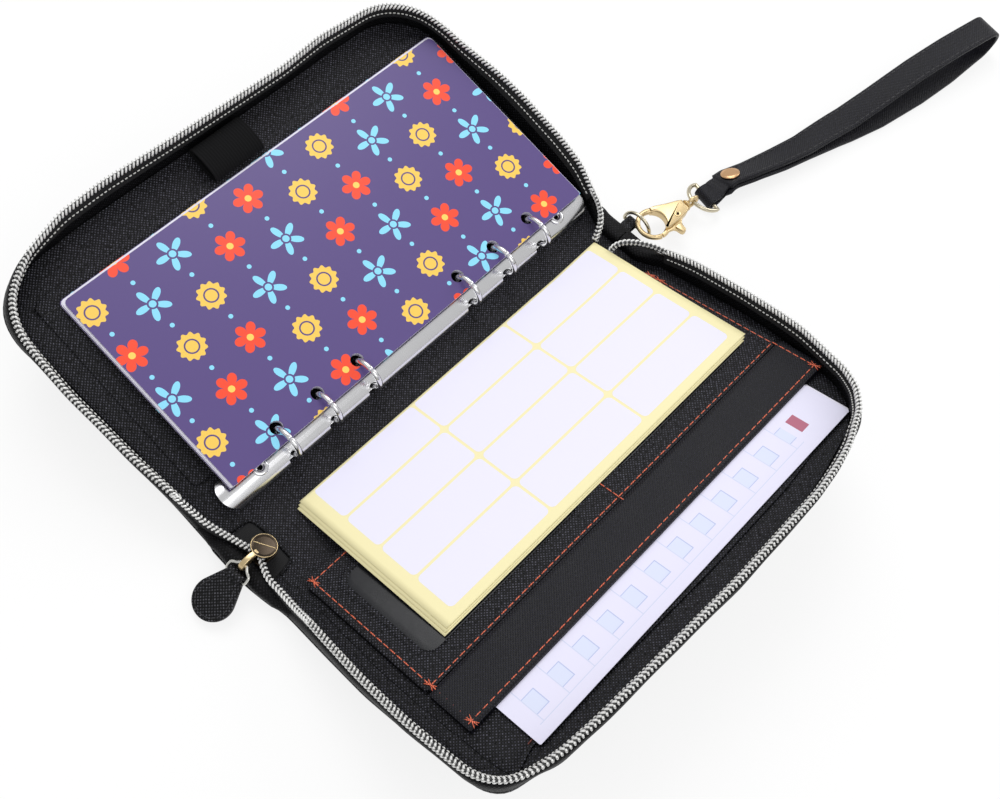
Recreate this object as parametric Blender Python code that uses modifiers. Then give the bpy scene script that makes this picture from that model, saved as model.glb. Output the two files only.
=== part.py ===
"""Zip-around leather wallet, open on its spine.

It holds a six-ring binder with printed pages on the left cover, pockets with paper on the right cover and a
clip-on wrist strap at the upper end of the spine. X runs across the wallet, Y along its spine and Z up.
The origin is the centre of the spine's underside.
"""

import math

import bmesh
import bpy
from mathutils import Matrix, Vector

MM = 0.001

# Rings, in the spacing of personal-size pages, and the housing that carries them
BINDER_U = 10.8 * MM
BINDER_SHIFT = 5.0 * MM
RING_GROUP_PITCH = 19.0 * MM
RING_MIDDLE_SPACE = 51.0 * MM
RING_SPAN = RING_MIDDLE_SPACE / 2 + 2 * RING_GROUP_PITCH
RIVET_SPACE = 12.5 * MM
RIVET_OFFSET = RING_SPAN + RIVET_SPACE
HOUSING_END_SPACE = 11.5 * MM
HOUSING_LENGTH = 2 * (RIVET_OFFSET + HOUSING_END_SPACE)

# Pages, sized from the rings that hold them
PAGE_WIDTH = 88.0 * MM
PAGE_END_SPACE = 24.5 * MM
PAGE_LENGTH = 2 * (RING_SPAN + PAGE_END_SPACE)

# Cover, sized from the pages and measured from its fold: u outwards, y along the spine, h above the leather
SPINE_WIDTH = 29.0 * MM
PAGE_SIDE_SPACE = 19.7 * MM
COVER_END_SPACE = 12.5 * MM
COVER_WIDTH = BINDER_U + PAGE_WIDTH + PAGE_SIDE_SPACE
COVER_HALF = PAGE_LENGTH / 2 + COVER_END_SPACE
CORNER_RADIUS = 27.0 * MM
LEFT_REST_ANGLE = math.radians(16)
RIGHT_REST_ANGLE = math.radians(18)
CONTENT_SHIFT = 2.3 * MM

# Layers
LEATHER = 1.2 * MM
BOARD = 1.4 * MM
LINING = 0.5 * MM
LAYER_GAP = 0.15 * MM
SEAT_GAP = 0.3 * MM
CUT_OVERRUN = 3.0 * MM
BOARD_LOW = LEATHER + LAYER_GAP
BOARD_HIGH = BOARD_LOW + BOARD
LINING_LOW = BOARD_HIGH + LAYER_GAP
LINING_HIGH = LINING_LOW + LINING
FIRST_SEAT = LINING_HIGH + LAYER_GAP
FOLD_MARGIN = 0.45 * MM
LEATHER_MARGIN = 0.25 * MM

# Side wall and zip
WALL_THICKNESS = 3.0 * MM
WALL_START = 8.0 * MM
TAPER_END = 26.0 * MM
LOWER_TAPER_DROP = 6.0 * MM
UPPER_TAPER_DROP = 1.5 * MM
MEETING_HEIGHT = SPINE_WIDTH / 2
TOOTH_OVERLAP = 0.5 * MM
TOOTH_HEIGHT = 2.0 * MM
TOOTH_LENGTH = 1.7 * MM
TOOTH_PITCH = 4.4 * MM
TOOTH_NARROWING_SHARE = 0.72
CORD_HEIGHT = 1.2 * MM
CHAIN_WIDTH = 2.6 * MM
CHAIN_INSET = 0.5 * MM
TAPE_HEIGHT = 1.9 * MM
TAPE_WIDTH = 1.2 * MM
TAPE_INSET = CHAIN_INSET + (CHAIN_WIDTH - TAPE_WIDTH) / 2
TOOTH_TOP = MEETING_HEIGHT + TOOTH_OVERLAP
CORD_TOP = TOOTH_TOP - TOOTH_HEIGHT
CORD_LOW = CORD_TOP - CORD_HEIGHT
TAPE_TOP = CORD_LOW - LAYER_GAP
TAPE_LOW = TAPE_TOP - TAPE_HEIGHT
WALL_TOP = TAPE_LOW - LAYER_GAP
INNER_INSET = WALL_THICKNESS + SEAT_GAP

# Ends of the spine
SPINE_OVERHANG = 1.0 * MM
GUSSET_HALF_WIDTH = SPINE_WIDTH / 2 - LINING_HIGH - FOLD_MARGIN
GUSSET_TOP = 7.6 * MM
GUSSET_DEPTH = 7.5 * MM
GUSSET_LEAN = 2.2 * MM
GUSSET_ROUNDING = 0.8 * MM
TAIL_RADIUS = 1.15 * MM
TAIL_HALF_SPAN = 10.0 * MM
TAIL_RISE = 2.5 * MM

# Slider, link and pull
DISC_RADIUS = 4.6 * MM
DISC_THICKNESS = 1.2 * MM
SLIDER_INSET = 11.0 * MM
SLIDER_CHANNEL = 3.6 * MM
SLIDER_BASE = 0.9 * MM
SLIDER_BASE_LENGTH = 9.0 * MM
SLIDER_BASE_WIDTH = 7.5 * MM
POST_RADIUS = 1.3 * MM
LUG_THICKNESS = 1.8 * MM
LUG_RADIUS = 2.1 * MM
LUG_HOLE = 1.05 * MM
LUG_INSET = 2.7 * MM
LINK_WIRE = 0.6 * MM
LINK_LENGTH = 5.0 * MM
LINK_TOP_HALF = 1.9 * MM
LINK_FOOT_HALF = 4.3 * MM
LINK_SHOULDER = 2.9 * MM
LINK_ANGLE = math.radians(32)
PULL_THICKNESS = 2.4 * MM
PULL_LENGTH = 18.0 * MM
PULL_HALF_WIDTH = 7.6 * MM
PULL_TUNNEL = 0.95 * MM
PULL_FOLD_RADIUS = 2.1 * MM
PULL_FLOOR_GAP = 0.4 * MM

# Ring binder, on the left cover
HOUSING_HALF_WIDTH = 6.7 * MM
HOUSING_HEIGHT = 4.6 * MM
HOUSING_SHEET = 0.9 * MM
HOUSING_ARC_STEPS = 16
RING_RADIUS = 6.0 * MM
RING_WIRE = 1.0 * MM
RING_CENTRE_HEIGHT = 8.0 * MM
RING_TIP_GAP = 0.3 * MM
RING_ARC_STEPS = 14
RING_FOOT_ANGLE = math.radians(-35)
RING_FOOT_PLACE = 3.7 * MM
NOTCH_RADIUS = 3.1 * MM
NOTCH_PLACE = 5.9 * MM
LEAF_THICKNESS = 0.8 * MM
LEAF_LIFT = 1.2 * MM
LEAF_OVERHANG = 5.0 * MM
LEAF_HALF_WIDTH = 4.5 * MM
RIVET_HEAD = 3.0 * MM
RIVET_DOME = 0.55 * MM
RIVET_SHANK = 1.4 * MM

# Sheets and their punched holes
PAGE_THICKNESS = 0.4 * MM
PAGE_PITCH = 0.75 * MM
PAGE_COUNT = 4
PAGE_HOLE_RADIUS = 2.5 * MM
PAGE_HOLE_MARGIN = 8.0 * MM
PAGE_HOLE_PLAY = 0.5 * MM
PAGE_TOP_OFFSET = 1.6 * MM
PAGE_FAN = 0.5 * MM
PAGE_CORNER = 2.0 * MM
PAGE_NAMES = ("front_page", "second_page", "third_page", "back_page")

# Left cover's pocket and pen loop
SLIP_POCKET = 0.6 * MM
SLIP_POCKET_START = 20.0 * MM
POCKET_END_GAP = 6.0 * MM
PEN_LOOP_BORE = 3.4 * MM
PEN_LOOP_BAND = 0.9 * MM
PEN_LOOP_LENGTH = 33.0 * MM
PEN_LOOP_RADIUS = PEN_LOOP_BORE + PEN_LOOP_BAND
PEN_LOOP_U = COVER_WIDTH - INNER_INSET - PEN_LOOP_RADIUS - SEAT_GAP
SLIP_MOUTH_SPACE = 3.3 * MM
SLIP_POCKET_MOUTH = PEN_LOOP_U - PEN_LOOP_RADIUS - SLIP_MOUTH_SPACE

# Right cover's pockets, from its outer edge inwards
BACK_POCKET = 0.5 * MM
BACK_POCKET_START = 24.0 * MM
BACK_MOUTH_SPACE = 11.5 * MM
BACK_POCKET_MOUTH = COVER_WIDTH - BACK_MOUTH_SPACE
STRIP_MOUTH_SPACE = 22.5 * MM
STRIP_MOUTH = BACK_POCKET_MOUTH - STRIP_MOUTH_SPACE
STRIP_WIDTH = 18.5 * MM
PANEL_SPLIT = STRIP_MOUTH - STRIP_WIDTH
PANEL_START = 5.0 * MM
PANEL_END_SPACE = 10.5 * MM
PANEL_HALF = COVER_HALF - PANEL_END_SPACE
BACK_END_SPACE = 6.0 * MM
BACK_POCKET_HALF = PANEL_HALF - BACK_END_SPACE
PANEL_THICKNESS = 0.7 * MM
PANEL_BORDER = 4.5 * MM
PANEL_CORNER = 3.0 * MM
WINDOW_MARGIN = 9.0 * MM
WINDOW_CORNER = 5.0 * MM
WINDOW_SHEET = 0.4 * MM
SHEET_THICKNESS = 0.25 * MM
SHEET_GAP = 0.15 * MM
SHEET_COUNT = 3
BUDGET_SIDE_SPACE = 6.0 * MM
BUDGET_END_SPACE = 5.0 * MM
BUDGET_START = BACK_POCKET_START + BUDGET_SIDE_SPACE
BUDGET_WIDTH = BACK_POCKET_MOUTH - BUDGET_SIDE_SPACE - BUDGET_START
BUDGET_LENGTH = 2 * (BACK_POCKET_HALF - BUDGET_END_SPACE)
BUDGET_FAN = 1.2 * MM
BUDGET_LOW = FIRST_SEAT + BACK_POCKET + LAYER_GAP
BUDGET_HIGH = BUDGET_LOW + SHEET_COUNT * SHEET_THICKNESS + (SHEET_COUNT - 1) * SHEET_GAP
PANEL_ROOF = BUDGET_HIGH + LAYER_GAP
PANEL_TOP = PANEL_ROOF + PANEL_THICKNESS

# Label sheets, loose across the fold
LABEL_START = -18.0 * MM
LABEL_SPLIT_SPACE = 11.0 * MM
LABEL_END_SPACE = 12.5 * MM
LABEL_WIDTH = PANEL_SPLIT - LABEL_SPLIT_SPACE - LABEL_START
LABEL_LENGTH = 2 * (PANEL_HALF - LABEL_END_SPACE)
LABEL_SHIFT = 9.0 * MM
LABEL_FAN = 1.1 * MM
LABEL_CORNER = 1.0 * MM

# Tab and D-ring at the upper end
TAB_LEFT = -5.2 * MM
TAB_RIGHT = -0.6 * MM
TAB_THICKNESS = 2.6 * MM
TAB_FOLD_RADIUS = 2.25 * MM
TAB_REACH = 5.5 * MM
CASE_RING_HEIGHT = 3.0 * MM
CASE_RING_HALF = 6.5 * MM
CASE_RING_RISE = 7.5 * MM
CASE_RING_WIRE = 0.9 * MM
PIVOT_CLEARANCE = 0.35 * MM

# Clasp, measured from its eye: t towards the strap, n across
CLASP_TURN = math.radians(10.7)
CLASP_SIDE = 0.9 * MM
CLASP_AHEAD = 3.6 * MM
CLASP_HEIGHT = 6.6 * MM
EYE_RADIUS = 6.2 * MM
EYE_WIRE = 1.0 * MM
EYE_ARC_STEPS = 22
EYE_START_ANGLE = math.radians(-40)
EYE_END_ANGLE = math.radians(-258)
BODY_THICKNESS = 4.0 * MM
BODY_REACH = 16.5 * MM
BODY_SHOULDER = 14.5 * MM
BODY_ROOT = 5.0 * MM
BODY_HALF_WIDTHS = (5.6 * MM, 3.4 * MM, 2.3 * MM)
GATE_THICKNESS = 1.3 * MM
GATE_RADIAL = 1.7 * MM
GATE_START_ANGLE = math.radians(38)
GATE_END_ANGLE = math.radians(92)
GATE_PIVOT_T = 10.5 * MM
GATE_PIVOT_N = 2.2 * MM
GATE_BOSS = 2.0 * MM
THUMB_T = 8.2 * MM
THUMB_N = 9.2 * MM
SLOT_END = 12.4 * MM
PIN_RADIUS = 0.75 * MM
SWIVEL_START = 12.9 * MM
SWIVEL_POST = 1.2 * MM
SWIVEL_FLANGE = 2.3 * MM
SWIVEL_FLANGE_THICKNESS = 0.8 * MM
SWIVEL_EYE_T = 20.4 * MM
SWIVEL_EYE_RADIUS = 2.6 * MM
SWIVEL_EYE_WIRE = 0.7 * MM

# Strap D-ring, strap loop and its rivet
STRAP_RING_T = 20.9 * MM
STRAP_RING_LENGTH = 9.0 * MM
STRAP_RING_HALF = 7.2 * MM
STRAP_RING_SIDE = 0.8 * MM
STRAP_BAR_HEIGHT = 3.2 * MM
STRAP_WIRE = 0.9 * MM
STRAP_THICKNESS = 1.8 * MM
STRAP_WIDTH = 11.8 * MM
STRAP_LENGTH = 168.0 * MM
STRAP_STACK_GAP = 0.3 * MM
STRAP_FOLD_RUN = 9.0 * MM
STRAP_STACK_END = 19.0 * MM
STRAP_LOOP_RADIUS = 6.3 * MM
STRAP_RISE_STEPS = 14
STRAP_TURN_STEPS = 10
STRAP_RIVET_T = 13.5 * MM
STRAP_RIVET_HEAD = 3.9 * MM
STRAP_RIVET_CAP = 0.8 * MM
STRAP_RIVET_SHANK = 1.3 * MM

ARC_STEPS = 10
ROUND_STEPS = 24
WIRE_STEPS = 2


def clear_scene():
    for item in list(bpy.data.objects):
        bpy.data.objects.remove(item, do_unlink=True)


def new_collection(name):
    collection = bpy.data.collections.new(name)
    bpy.context.scene.collection.children.link(collection)
    return collection


def new_material(name, colour, roughness, metallic=0.0):
    material = bpy.data.materials.new(name)
    material.use_nodes = True
    shader = material.node_tree.nodes["Principled BSDF"]
    shader.inputs["Base Color"].default_value = (*colour, 1.0)
    shader.inputs["Roughness"].default_value = roughness
    shader.inputs["Metallic"].default_value = metallic
    return material


clear_scene()
PARTS = new_collection("leather_wallet")
CUTTERS = new_collection("cutters")
OUTER_LEATHER = new_material("saffiano leather", (0.018, 0.018, 0.021), 0.45)
LINING_FABRIC = new_material("woven lining", (0.03, 0.03, 0.036), 0.7)
STIFFENER = new_material("stiffener board", (0.25, 0.2, 0.14), 0.8)
ZIP_TAPE = new_material("zip tape", (0.02, 0.02, 0.022), 0.8)
ZIP_COIL = new_material("silver coil", (0.6, 0.6, 0.57), 0.35)
BRONZE = new_material("dark bronze", (0.12, 0.09, 0.06), 0.3, 1.0)
CHROME = new_material("chrome", (0.8, 0.8, 0.8), 0.12, 1.0)
PALE_GOLD = new_material("pale gold", (0.72, 0.58, 0.38), 0.25, 1.0)
COPPER_GOLD = new_material("copper gold", (0.6, 0.38, 0.2), 0.3, 1.0)
PRINTED_CARD = new_material("printed card", (0.14, 0.1, 0.3), 0.4)
PAPER = new_material("paper", (0.9, 0.9, 0.92), 0.7)
LABEL_PAPER = new_material("label sheet", (0.86, 0.84, 0.96), 0.6)
CLEAR_VINYL = new_material("clear vinyl", (0.1, 0.1, 0.11), 0.15)
ELASTIC = new_material("elastic", (0.012, 0.012, 0.012), 0.9)
STRAP_LEATHER = new_material("smooth leather", (0.017, 0.016, 0.022), 0.4)


class Frame:
    """A cover's, the clasp's or the root's own axes, kept as an empty that its pieces hang from."""

    def __init__(self, name, place=Matrix.Identity(4), parent=None, mirrored=False):
        self.empty = bpy.data.objects.new(name, None)
        PARTS.objects.link(self.empty)
        self.empty.parent = parent.empty if parent else None
        self.empty.matrix_local = place
        self.world = (parent.world if parent else Matrix.Identity(4)) @ place
        self.mirrored = mirrored
        self.pivot = Vector()

    def at(self, name, pivot):
        """A moving piece's frame: the same axes, with its empty on the joint's axis."""
        place = Vector((-pivot[0], pivot[1], pivot[2])) if self.mirrored else Vector(pivot)
        child = Frame(name, Matrix.Translation(place - self.shift()), self, self.mirrored)
        child.pivot = Vector(pivot)
        return child

    def shift(self):
        if self.mirrored:
            return Vector((-self.pivot[0], self.pivot[1], self.pivot[2]))
        return self.pivot


def add_object(name, mesh, frame, material, collection=None):
    item = bpy.data.objects.new(name, mesh)
    (collection or PARTS).objects.link(item)
    item.parent = frame.empty
    if material:
        mesh.materials.append(material)
    return item


def add_solid(name, bm, frame, material=None, collection=None):
    """Writes a closed shape, drawn in a frame's own measures, as an object in that frame."""
    bmesh.ops.translate(bm, vec=-frame.pivot, verts=bm.verts)
    if frame.mirrored:
        bmesh.ops.scale(bm, vec=(-1, 1, 1), verts=bm.verts)
    bmesh.ops.recalc_face_normals(bm, faces=bm.faces)
    mesh = bpy.data.meshes.new(name)
    bm.to_mesh(mesh)
    bm.free()
    return add_object(name, mesh, frame, material, collection)


def smooth(item, degrees=40):
    item.data.shade_smooth()
    item.data.set_sharp_from_angle(angle=math.radians(degrees))
    return item


def prism(points, low, high):
    """A flat outline of (u, y) points, raised from low to high."""
    bm = bmesh.new()
    face = bm.faces.new([bm.verts.new((u, y, low)) for u, y in points])
    raised = bmesh.ops.extrude_face_region(bm, geom=[face])
    tops = [part for part in raised["geom"] if isinstance(part, bmesh.types.BMVert)]
    bmesh.ops.translate(bm, vec=(0, 0, high - low), verts=tops)
    return bm


def side_prism(points, low, high):
    """An outline of (y, z) points, drawn out along X from low to high."""
    bm = prism(points, low, high)
    turn = Matrix(((0, 0, 1, 0), (1, 0, 0, 0), (0, 1, 0, 0), (0, 0, 0, 1)))
    bmesh.ops.transform(bm, matrix=turn, verts=bm.verts)
    return bm


def end_prism(points, low, high):
    """An outline of (u, h) points, drawn out along Y from low to high."""
    bm = prism([(u, -h) for u, h in points], low, high)
    turn = Matrix(((1, 0, 0, 0), (0, 0, 1, 0), (0, -1, 0, 0), (0, 0, 0, 1)))
    bmesh.ops.transform(bm, matrix=turn, verts=bm.verts)
    return bm


def cylinder(radius, centre, axis, low, high, steps=ROUND_STEPS):
    """A round bar along X, Y or Z, from low to high on that axis."""
    bm = bmesh.new()
    bmesh.ops.create_cone(
        bm, cap_ends=True, segments=steps, radius1=radius, radius2=radius, depth=high - low
    )
    turns = {"X": Matrix.Rotation(math.pi / 2, 4, "Y"), "Y": Matrix.Rotation(math.pi / 2, 4, "X")}
    if axis in turns:
        bmesh.ops.transform(bm, matrix=turns[axis], verts=bm.verts)
    middle = Vector(centre)
    middle["XYZ".index(axis)] = (low + high) / 2
    bmesh.ops.translate(bm, vec=middle, verts=bm.verts)
    return bm


def arc(centre, radius, start, end, steps):
    """Points from one angle to another round a centre, both ends included."""
    return [
        (
            centre[0] + radius * math.cos(start + (end - start) * k / steps),
            centre[1] + radius * math.sin(start + (end - start) * k / steps),
        )
        for k in range(steps + 1)
    ]


def rounded_rectangle(u0, u1, y0, y1, radius, steps=5):
    quarter = math.pi / 2
    return (
        arc((u1 - radius, y0 + radius), radius, -quarter, 0, steps)
        + arc((u1 - radius, y1 - radius), radius, 0, quarter, steps)
        + arc((u0 + radius, y1 - radius), radius, quarter, 2 * quarter, steps)
        + arc((u0 + radius, y0 + radius), radius, 2 * quarter, 3 * quarter, steps)
    )


def wire(name, points, radius, frame, material=None, closed=False):
    """A round wire through points, as a curve turned into a closed mesh."""
    curve = bpy.data.curves.new(name, "CURVE")
    curve.dimensions = "3D"
    curve.bevel_depth = radius
    curve.bevel_resolution = WIRE_STEPS
    curve.use_fill_caps = True
    spline = curve.splines.new("POLY")
    spline.points.add(len(points) - 1)
    spline.use_cyclic_u = closed
    for place, point in zip(spline.points, points):
        place.co = (*point, 1)
    guide = bpy.data.objects.new(name + "_guide", curve)
    CUTTERS.objects.link(guide)
    shape = bpy.data.meshes.new_from_object(guide.evaluated_get(bpy.context.evaluated_depsgraph_get()))
    bpy.data.objects.remove(guide, do_unlink=True)
    bm = bmesh.new()
    bm.from_mesh(shape)
    bmesh.ops.remove_doubles(bm, verts=bm.verts, dist=radius / ROUND_STEPS)
    bpy.data.meshes.remove(shape)
    return smooth(add_solid(name, bm, frame, material))


def hide_as_cutter(item):
    for collection in list(item.users_collection):
        collection.objects.unlink(item)
    CUTTERS.objects.link(item)
    item.hide_render = True
    item.display_type = "WIRE"


def combine(item, other, operation):
    """Cuts another object out of a piece, or joins it on."""
    hide_as_cutter(other)
    step = item.modifiers.new(operation.lower(), "BOOLEAN")
    step.operation = operation
    step.solver = "EXACT"
    step.object = other
    return item


def cut(item, bm, frame, name):
    return combine(item, add_solid(name, bm, frame), "DIFFERENCE")


def join(item, other):
    return combine(item, other, "UNION")


def soften(item, width, segments=2):
    step = item.modifiers.new("rounding", "BEVEL")
    step.width = width
    step.segments = segments
    step.limit_method = "ANGLE"
    return item


# The rim: one path round a cover's three free sides, from the fold and back to it
RIM_STRAIGHT = COVER_WIDTH - CORNER_RADIUS - WALL_START
RIM_ARC = math.pi / 2 * (CORNER_RADIUS - CHAIN_INSET - CHAIN_WIDTH / 2)
RIM_SIDE = 2 * (COVER_HALF - CORNER_RADIUS)
RIM_LENGTH = 2 * RIM_STRAIGHT + 2 * RIM_ARC + RIM_SIDE


def rim_point(distance, inset):
    """The (u, y) place at a distance along the rim, drawn in from the outer edge by an inset."""
    centre_u = COVER_WIDTH - CORNER_RADIUS
    centre_y = COVER_HALF - CORNER_RADIUS
    radius = CORNER_RADIUS - inset
    if distance <= RIM_STRAIGHT:
        return WALL_START + distance, inset - COVER_HALF
    distance -= RIM_STRAIGHT
    if distance <= RIM_ARC:
        angle = distance / RIM_ARC * math.pi / 2
        return centre_u + radius * math.sin(angle), -centre_y - radius * math.cos(angle)
    distance -= RIM_ARC
    if distance <= RIM_SIDE:
        return COVER_WIDTH - inset, distance - centre_y
    distance -= RIM_SIDE
    if distance <= RIM_ARC:
        angle = distance / RIM_ARC * math.pi / 2
        return centre_u + radius * math.cos(angle), centre_y + radius * math.sin(angle)
    distance -= RIM_ARC
    return centre_u - distance, COVER_HALF - inset


def rim_drop(u, y):
    """How far the wall and the zip come down towards the fold, most of all at the slider's end."""
    if u >= TAPER_END:
        return 0.0
    drop = LOWER_TAPER_DROP if y < 0 else UPPER_TAPER_DROP
    return drop * ((TAPER_END - u) / (TAPER_END - WALL_START)) ** 2


def rim_stations():
    """Distances along the rim where the wall has a section: along each taper and round each corner."""
    taper = TAPER_END - WALL_START
    near = [taper * k / ARC_STEPS for k in range(ARC_STEPS + 1)]
    first = [RIM_STRAIGHT + RIM_ARC * k / ARC_STEPS for k in range(ARC_STEPS + 1)]
    half = near + first
    return half + [RIM_LENGTH - place for place in reversed(half)]


def rim_band(stations, outer_inset, inner_inset, low, high, flat_bottom=False):
    """A band that follows the rim, with its top faces one to each step between stations."""
    bm = bmesh.new()
    rows = []
    for place in stations:
        outer = rim_point(place, outer_inset)
        inner = rim_point(place, inner_inset)
        base = low if flat_bottom else low - rim_drop(*outer)
        rows.append([bm.verts.new((*outer, base)), bm.verts.new((*inner, base))])
    floor = [
        bm.faces.new((a[0], b[0], b[1], a[1])) for a, b in zip(rows, rows[1:])
    ]
    raised = bmesh.ops.extrude_face_region(bm, geom=floor)
    tops = [part for part in raised["geom"] if isinstance(part, bmesh.types.BMVert)]
    for vert in tops:
        vert.co.z = high - rim_drop(vert.co.x, vert.co.y)
    return bm, [part for part in raised["geom"] if isinstance(part, bmesh.types.BMFace)]


def tooth_stations(phase):
    """Distances along the rim where a tooth starts or ends; the other cover's teeth stand half a pitch on."""
    count = int(RIM_LENGTH / TOOTH_PITCH) - 1
    margin = (RIM_LENGTH - count * TOOTH_PITCH) / 2
    places = [0.0]
    for k in range(count):
        start = margin + (k + phase) * TOOTH_PITCH
        places += [start, start + TOOTH_LENGTH]
    return places + [RIM_LENGTH]


def zip_teeth(name, frame, phase):
    """A row of teeth on its cord, raised from alternate steps of one band."""
    bm, tops = rim_band(
        tooth_stations(phase), CHAIN_INSET, CHAIN_INSET + CHAIN_WIDTH, CORD_LOW, CORD_TOP
    )
    bm.faces.ensure_lookup_table()
    teeth = bmesh.ops.extrude_discrete_faces(bm, faces=tops[1::2])["faces"]
    for face in teeth:
        middle = face.calc_center_median()
        bmesh.ops.translate(bm, vec=(0, 0, TOOTH_HEIGHT), verts=face.verts)
        for vert in face.verts:
            flat = Vector((vert.co.x - middle.x, vert.co.y - middle.y, 0))
            vert.co -= flat * (1 - TOOTH_NARROWING_SHARE)
    return add_solid(name, bm, frame, ZIP_COIL)


def cover_outline(start, inset):
    """The cover's plan: straight at the fold, with round outer corners."""
    far = COVER_WIDTH - inset
    half = COVER_HALF - inset
    radius = CORNER_RADIUS - inset
    quarter = math.pi / 2
    return (
        [(start, half), (start, -half)]
        + arc((far - radius, radius - half), radius, -quarter, 0, ARC_STEPS)
        + arc((far - radius, half - radius), radius, 0, quarter, ARC_STEPS)
    )


def mitre(item, fold, thickness):
    """Slopes a leather's edge at a fold, so that two folded leathers meet along the mitre."""
    for vert in item.data.vertices:
        if abs(abs(vert.co.x) - fold) < LEATHER_MARGIN / 2 and vert.co.z > thickness / 2:
            inward = -thickness if fold > LEATHER_MARGIN else thickness
            vert.co.x += math.copysign(1, vert.co.x) * inward
    return item


def rivet_bores(item, frame, name):
    """Holes for the binder's two rivets."""
    for number, side in enumerate((-1, 1), start=1):
        centre = (BINDER_U, BINDER_SHIFT + side * RIVET_OFFSET, 0)
        bore = cylinder(
            RIVET_SHANK + SEAT_GAP, centre, "Z", LEATHER, LINING_HIGH + HOUSING_HEIGHT + CUT_OVERRUN, 12
        )
        cut(item, bore, frame, f"{name}_bore_{number}")
    return item


def add_cover(side, frame, phase):
    """Leather, board, lining, side wall, tape and teeth of one cover."""
    leather = add_solid(
        f"{side}_leather", prism(cover_outline(LEATHER_MARGIN, 0), 0, LEATHER), frame, OUTER_LEATHER
    )
    mitre(leather, LEATHER_MARGIN, LEATHER)
    board = add_solid(
        f"{side}_board",
        prism(cover_outline(BOARD_HIGH + FOLD_MARGIN, INNER_INSET), BOARD_LOW, BOARD_HIGH),
        frame,
        STIFFENER,
    )
    lining = add_solid(
        f"{side}_lining",
        prism(cover_outline(LINING_HIGH + FOLD_MARGIN, INNER_INSET), LINING_LOW, LINING_HIGH),
        frame,
        LINING_FABRIC,
    )
    if frame.mirrored:
        rivet_bores(board, frame, "board")
        rivet_bores(lining, frame, "lining")
    wall, _ = rim_band(rim_stations(), 0, WALL_THICKNESS, BOARD_LOW, WALL_TOP, flat_bottom=True)
    add_solid(f"{side}_side_wall", wall, frame, OUTER_LEATHER)
    tape, _ = rim_band(rim_stations(), TAPE_INSET, TAPE_INSET + TAPE_WIDTH, TAPE_LOW, TAPE_TOP)
    add_solid(f"{side}_zip_tape", tape, frame, ZIP_TAPE)
    zip_teeth(f"{side}_zip_teeth", frame, phase)


def add_spine(frame):
    half = SPINE_WIDTH / 2
    end = COVER_HALF + SPINE_OVERHANG
    edge = half - LEATHER_MARGIN
    leather = prism([(-edge, -end), (edge, -end), (edge, end), (-edge, end)], 0, LEATHER)
    mitre(add_solid("spine_leather", leather, frame, OUTER_LEATHER), edge, LEATHER)
    layers = (
        ("spine_board", BOARD_LOW, BOARD_HIGH, STIFFENER),
        ("spine_lining", LINING_LOW, LINING_HIGH, LINING_FABRIC),
    )
    inner_end = COVER_HALF - GUSSET_DEPTH - SEAT_GAP
    for name, low, high, material in layers:
        edge = half - high - FOLD_MARGIN
        outline = [(-edge, -inner_end), (edge, -inner_end), (edge, inner_end), (-edge, inner_end)]
        add_solid(name, prism(outline, low, high), frame, material)


def add_end_gusset(name, frame, end, lean):
    """The folded leather that closes an end of the spine: end is -1 or 1, lean slopes its outer face."""
    outer = COVER_HALF - SEAT_GAP
    inner = COVER_HALF - GUSSET_DEPTH
    profile = [(inner, BOARD_LOW), (outer, BOARD_LOW), (outer - lean, GUSSET_TOP), (inner, GUSSET_TOP)]
    points = [(end * y, z) for y, z in profile]
    gusset = add_solid(name, side_prism(points, -GUSSET_HALF_WIDTH, GUSSET_HALF_WIDTH), frame, OUTER_LEATHER)
    return soften(gusset, GUSSET_ROUNDING)


def add_zip_tail(name, frame, end, inward):
    """The closed stretch of chain that arches over an end of the spine, drawn inwards at its crown."""
    low = GUSSET_TOP + SEAT_GAP + TAIL_RADIUS
    base = COVER_HALF - WALL_THICKNESS - SEAT_GAP - TAIL_RADIUS
    steps = 2 * ARC_STEPS
    points = []
    for k in range(steps + 1):
        across = 2 * k / steps - 1
        crown = math.cos(across * math.pi / 2)
        points.append((across * TAIL_HALF_SPAN, end * (base - inward * crown), low + TAIL_RISE * crown))
    return wire(name, points, TAIL_RADIUS, frame, ZIP_COIL)


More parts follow.
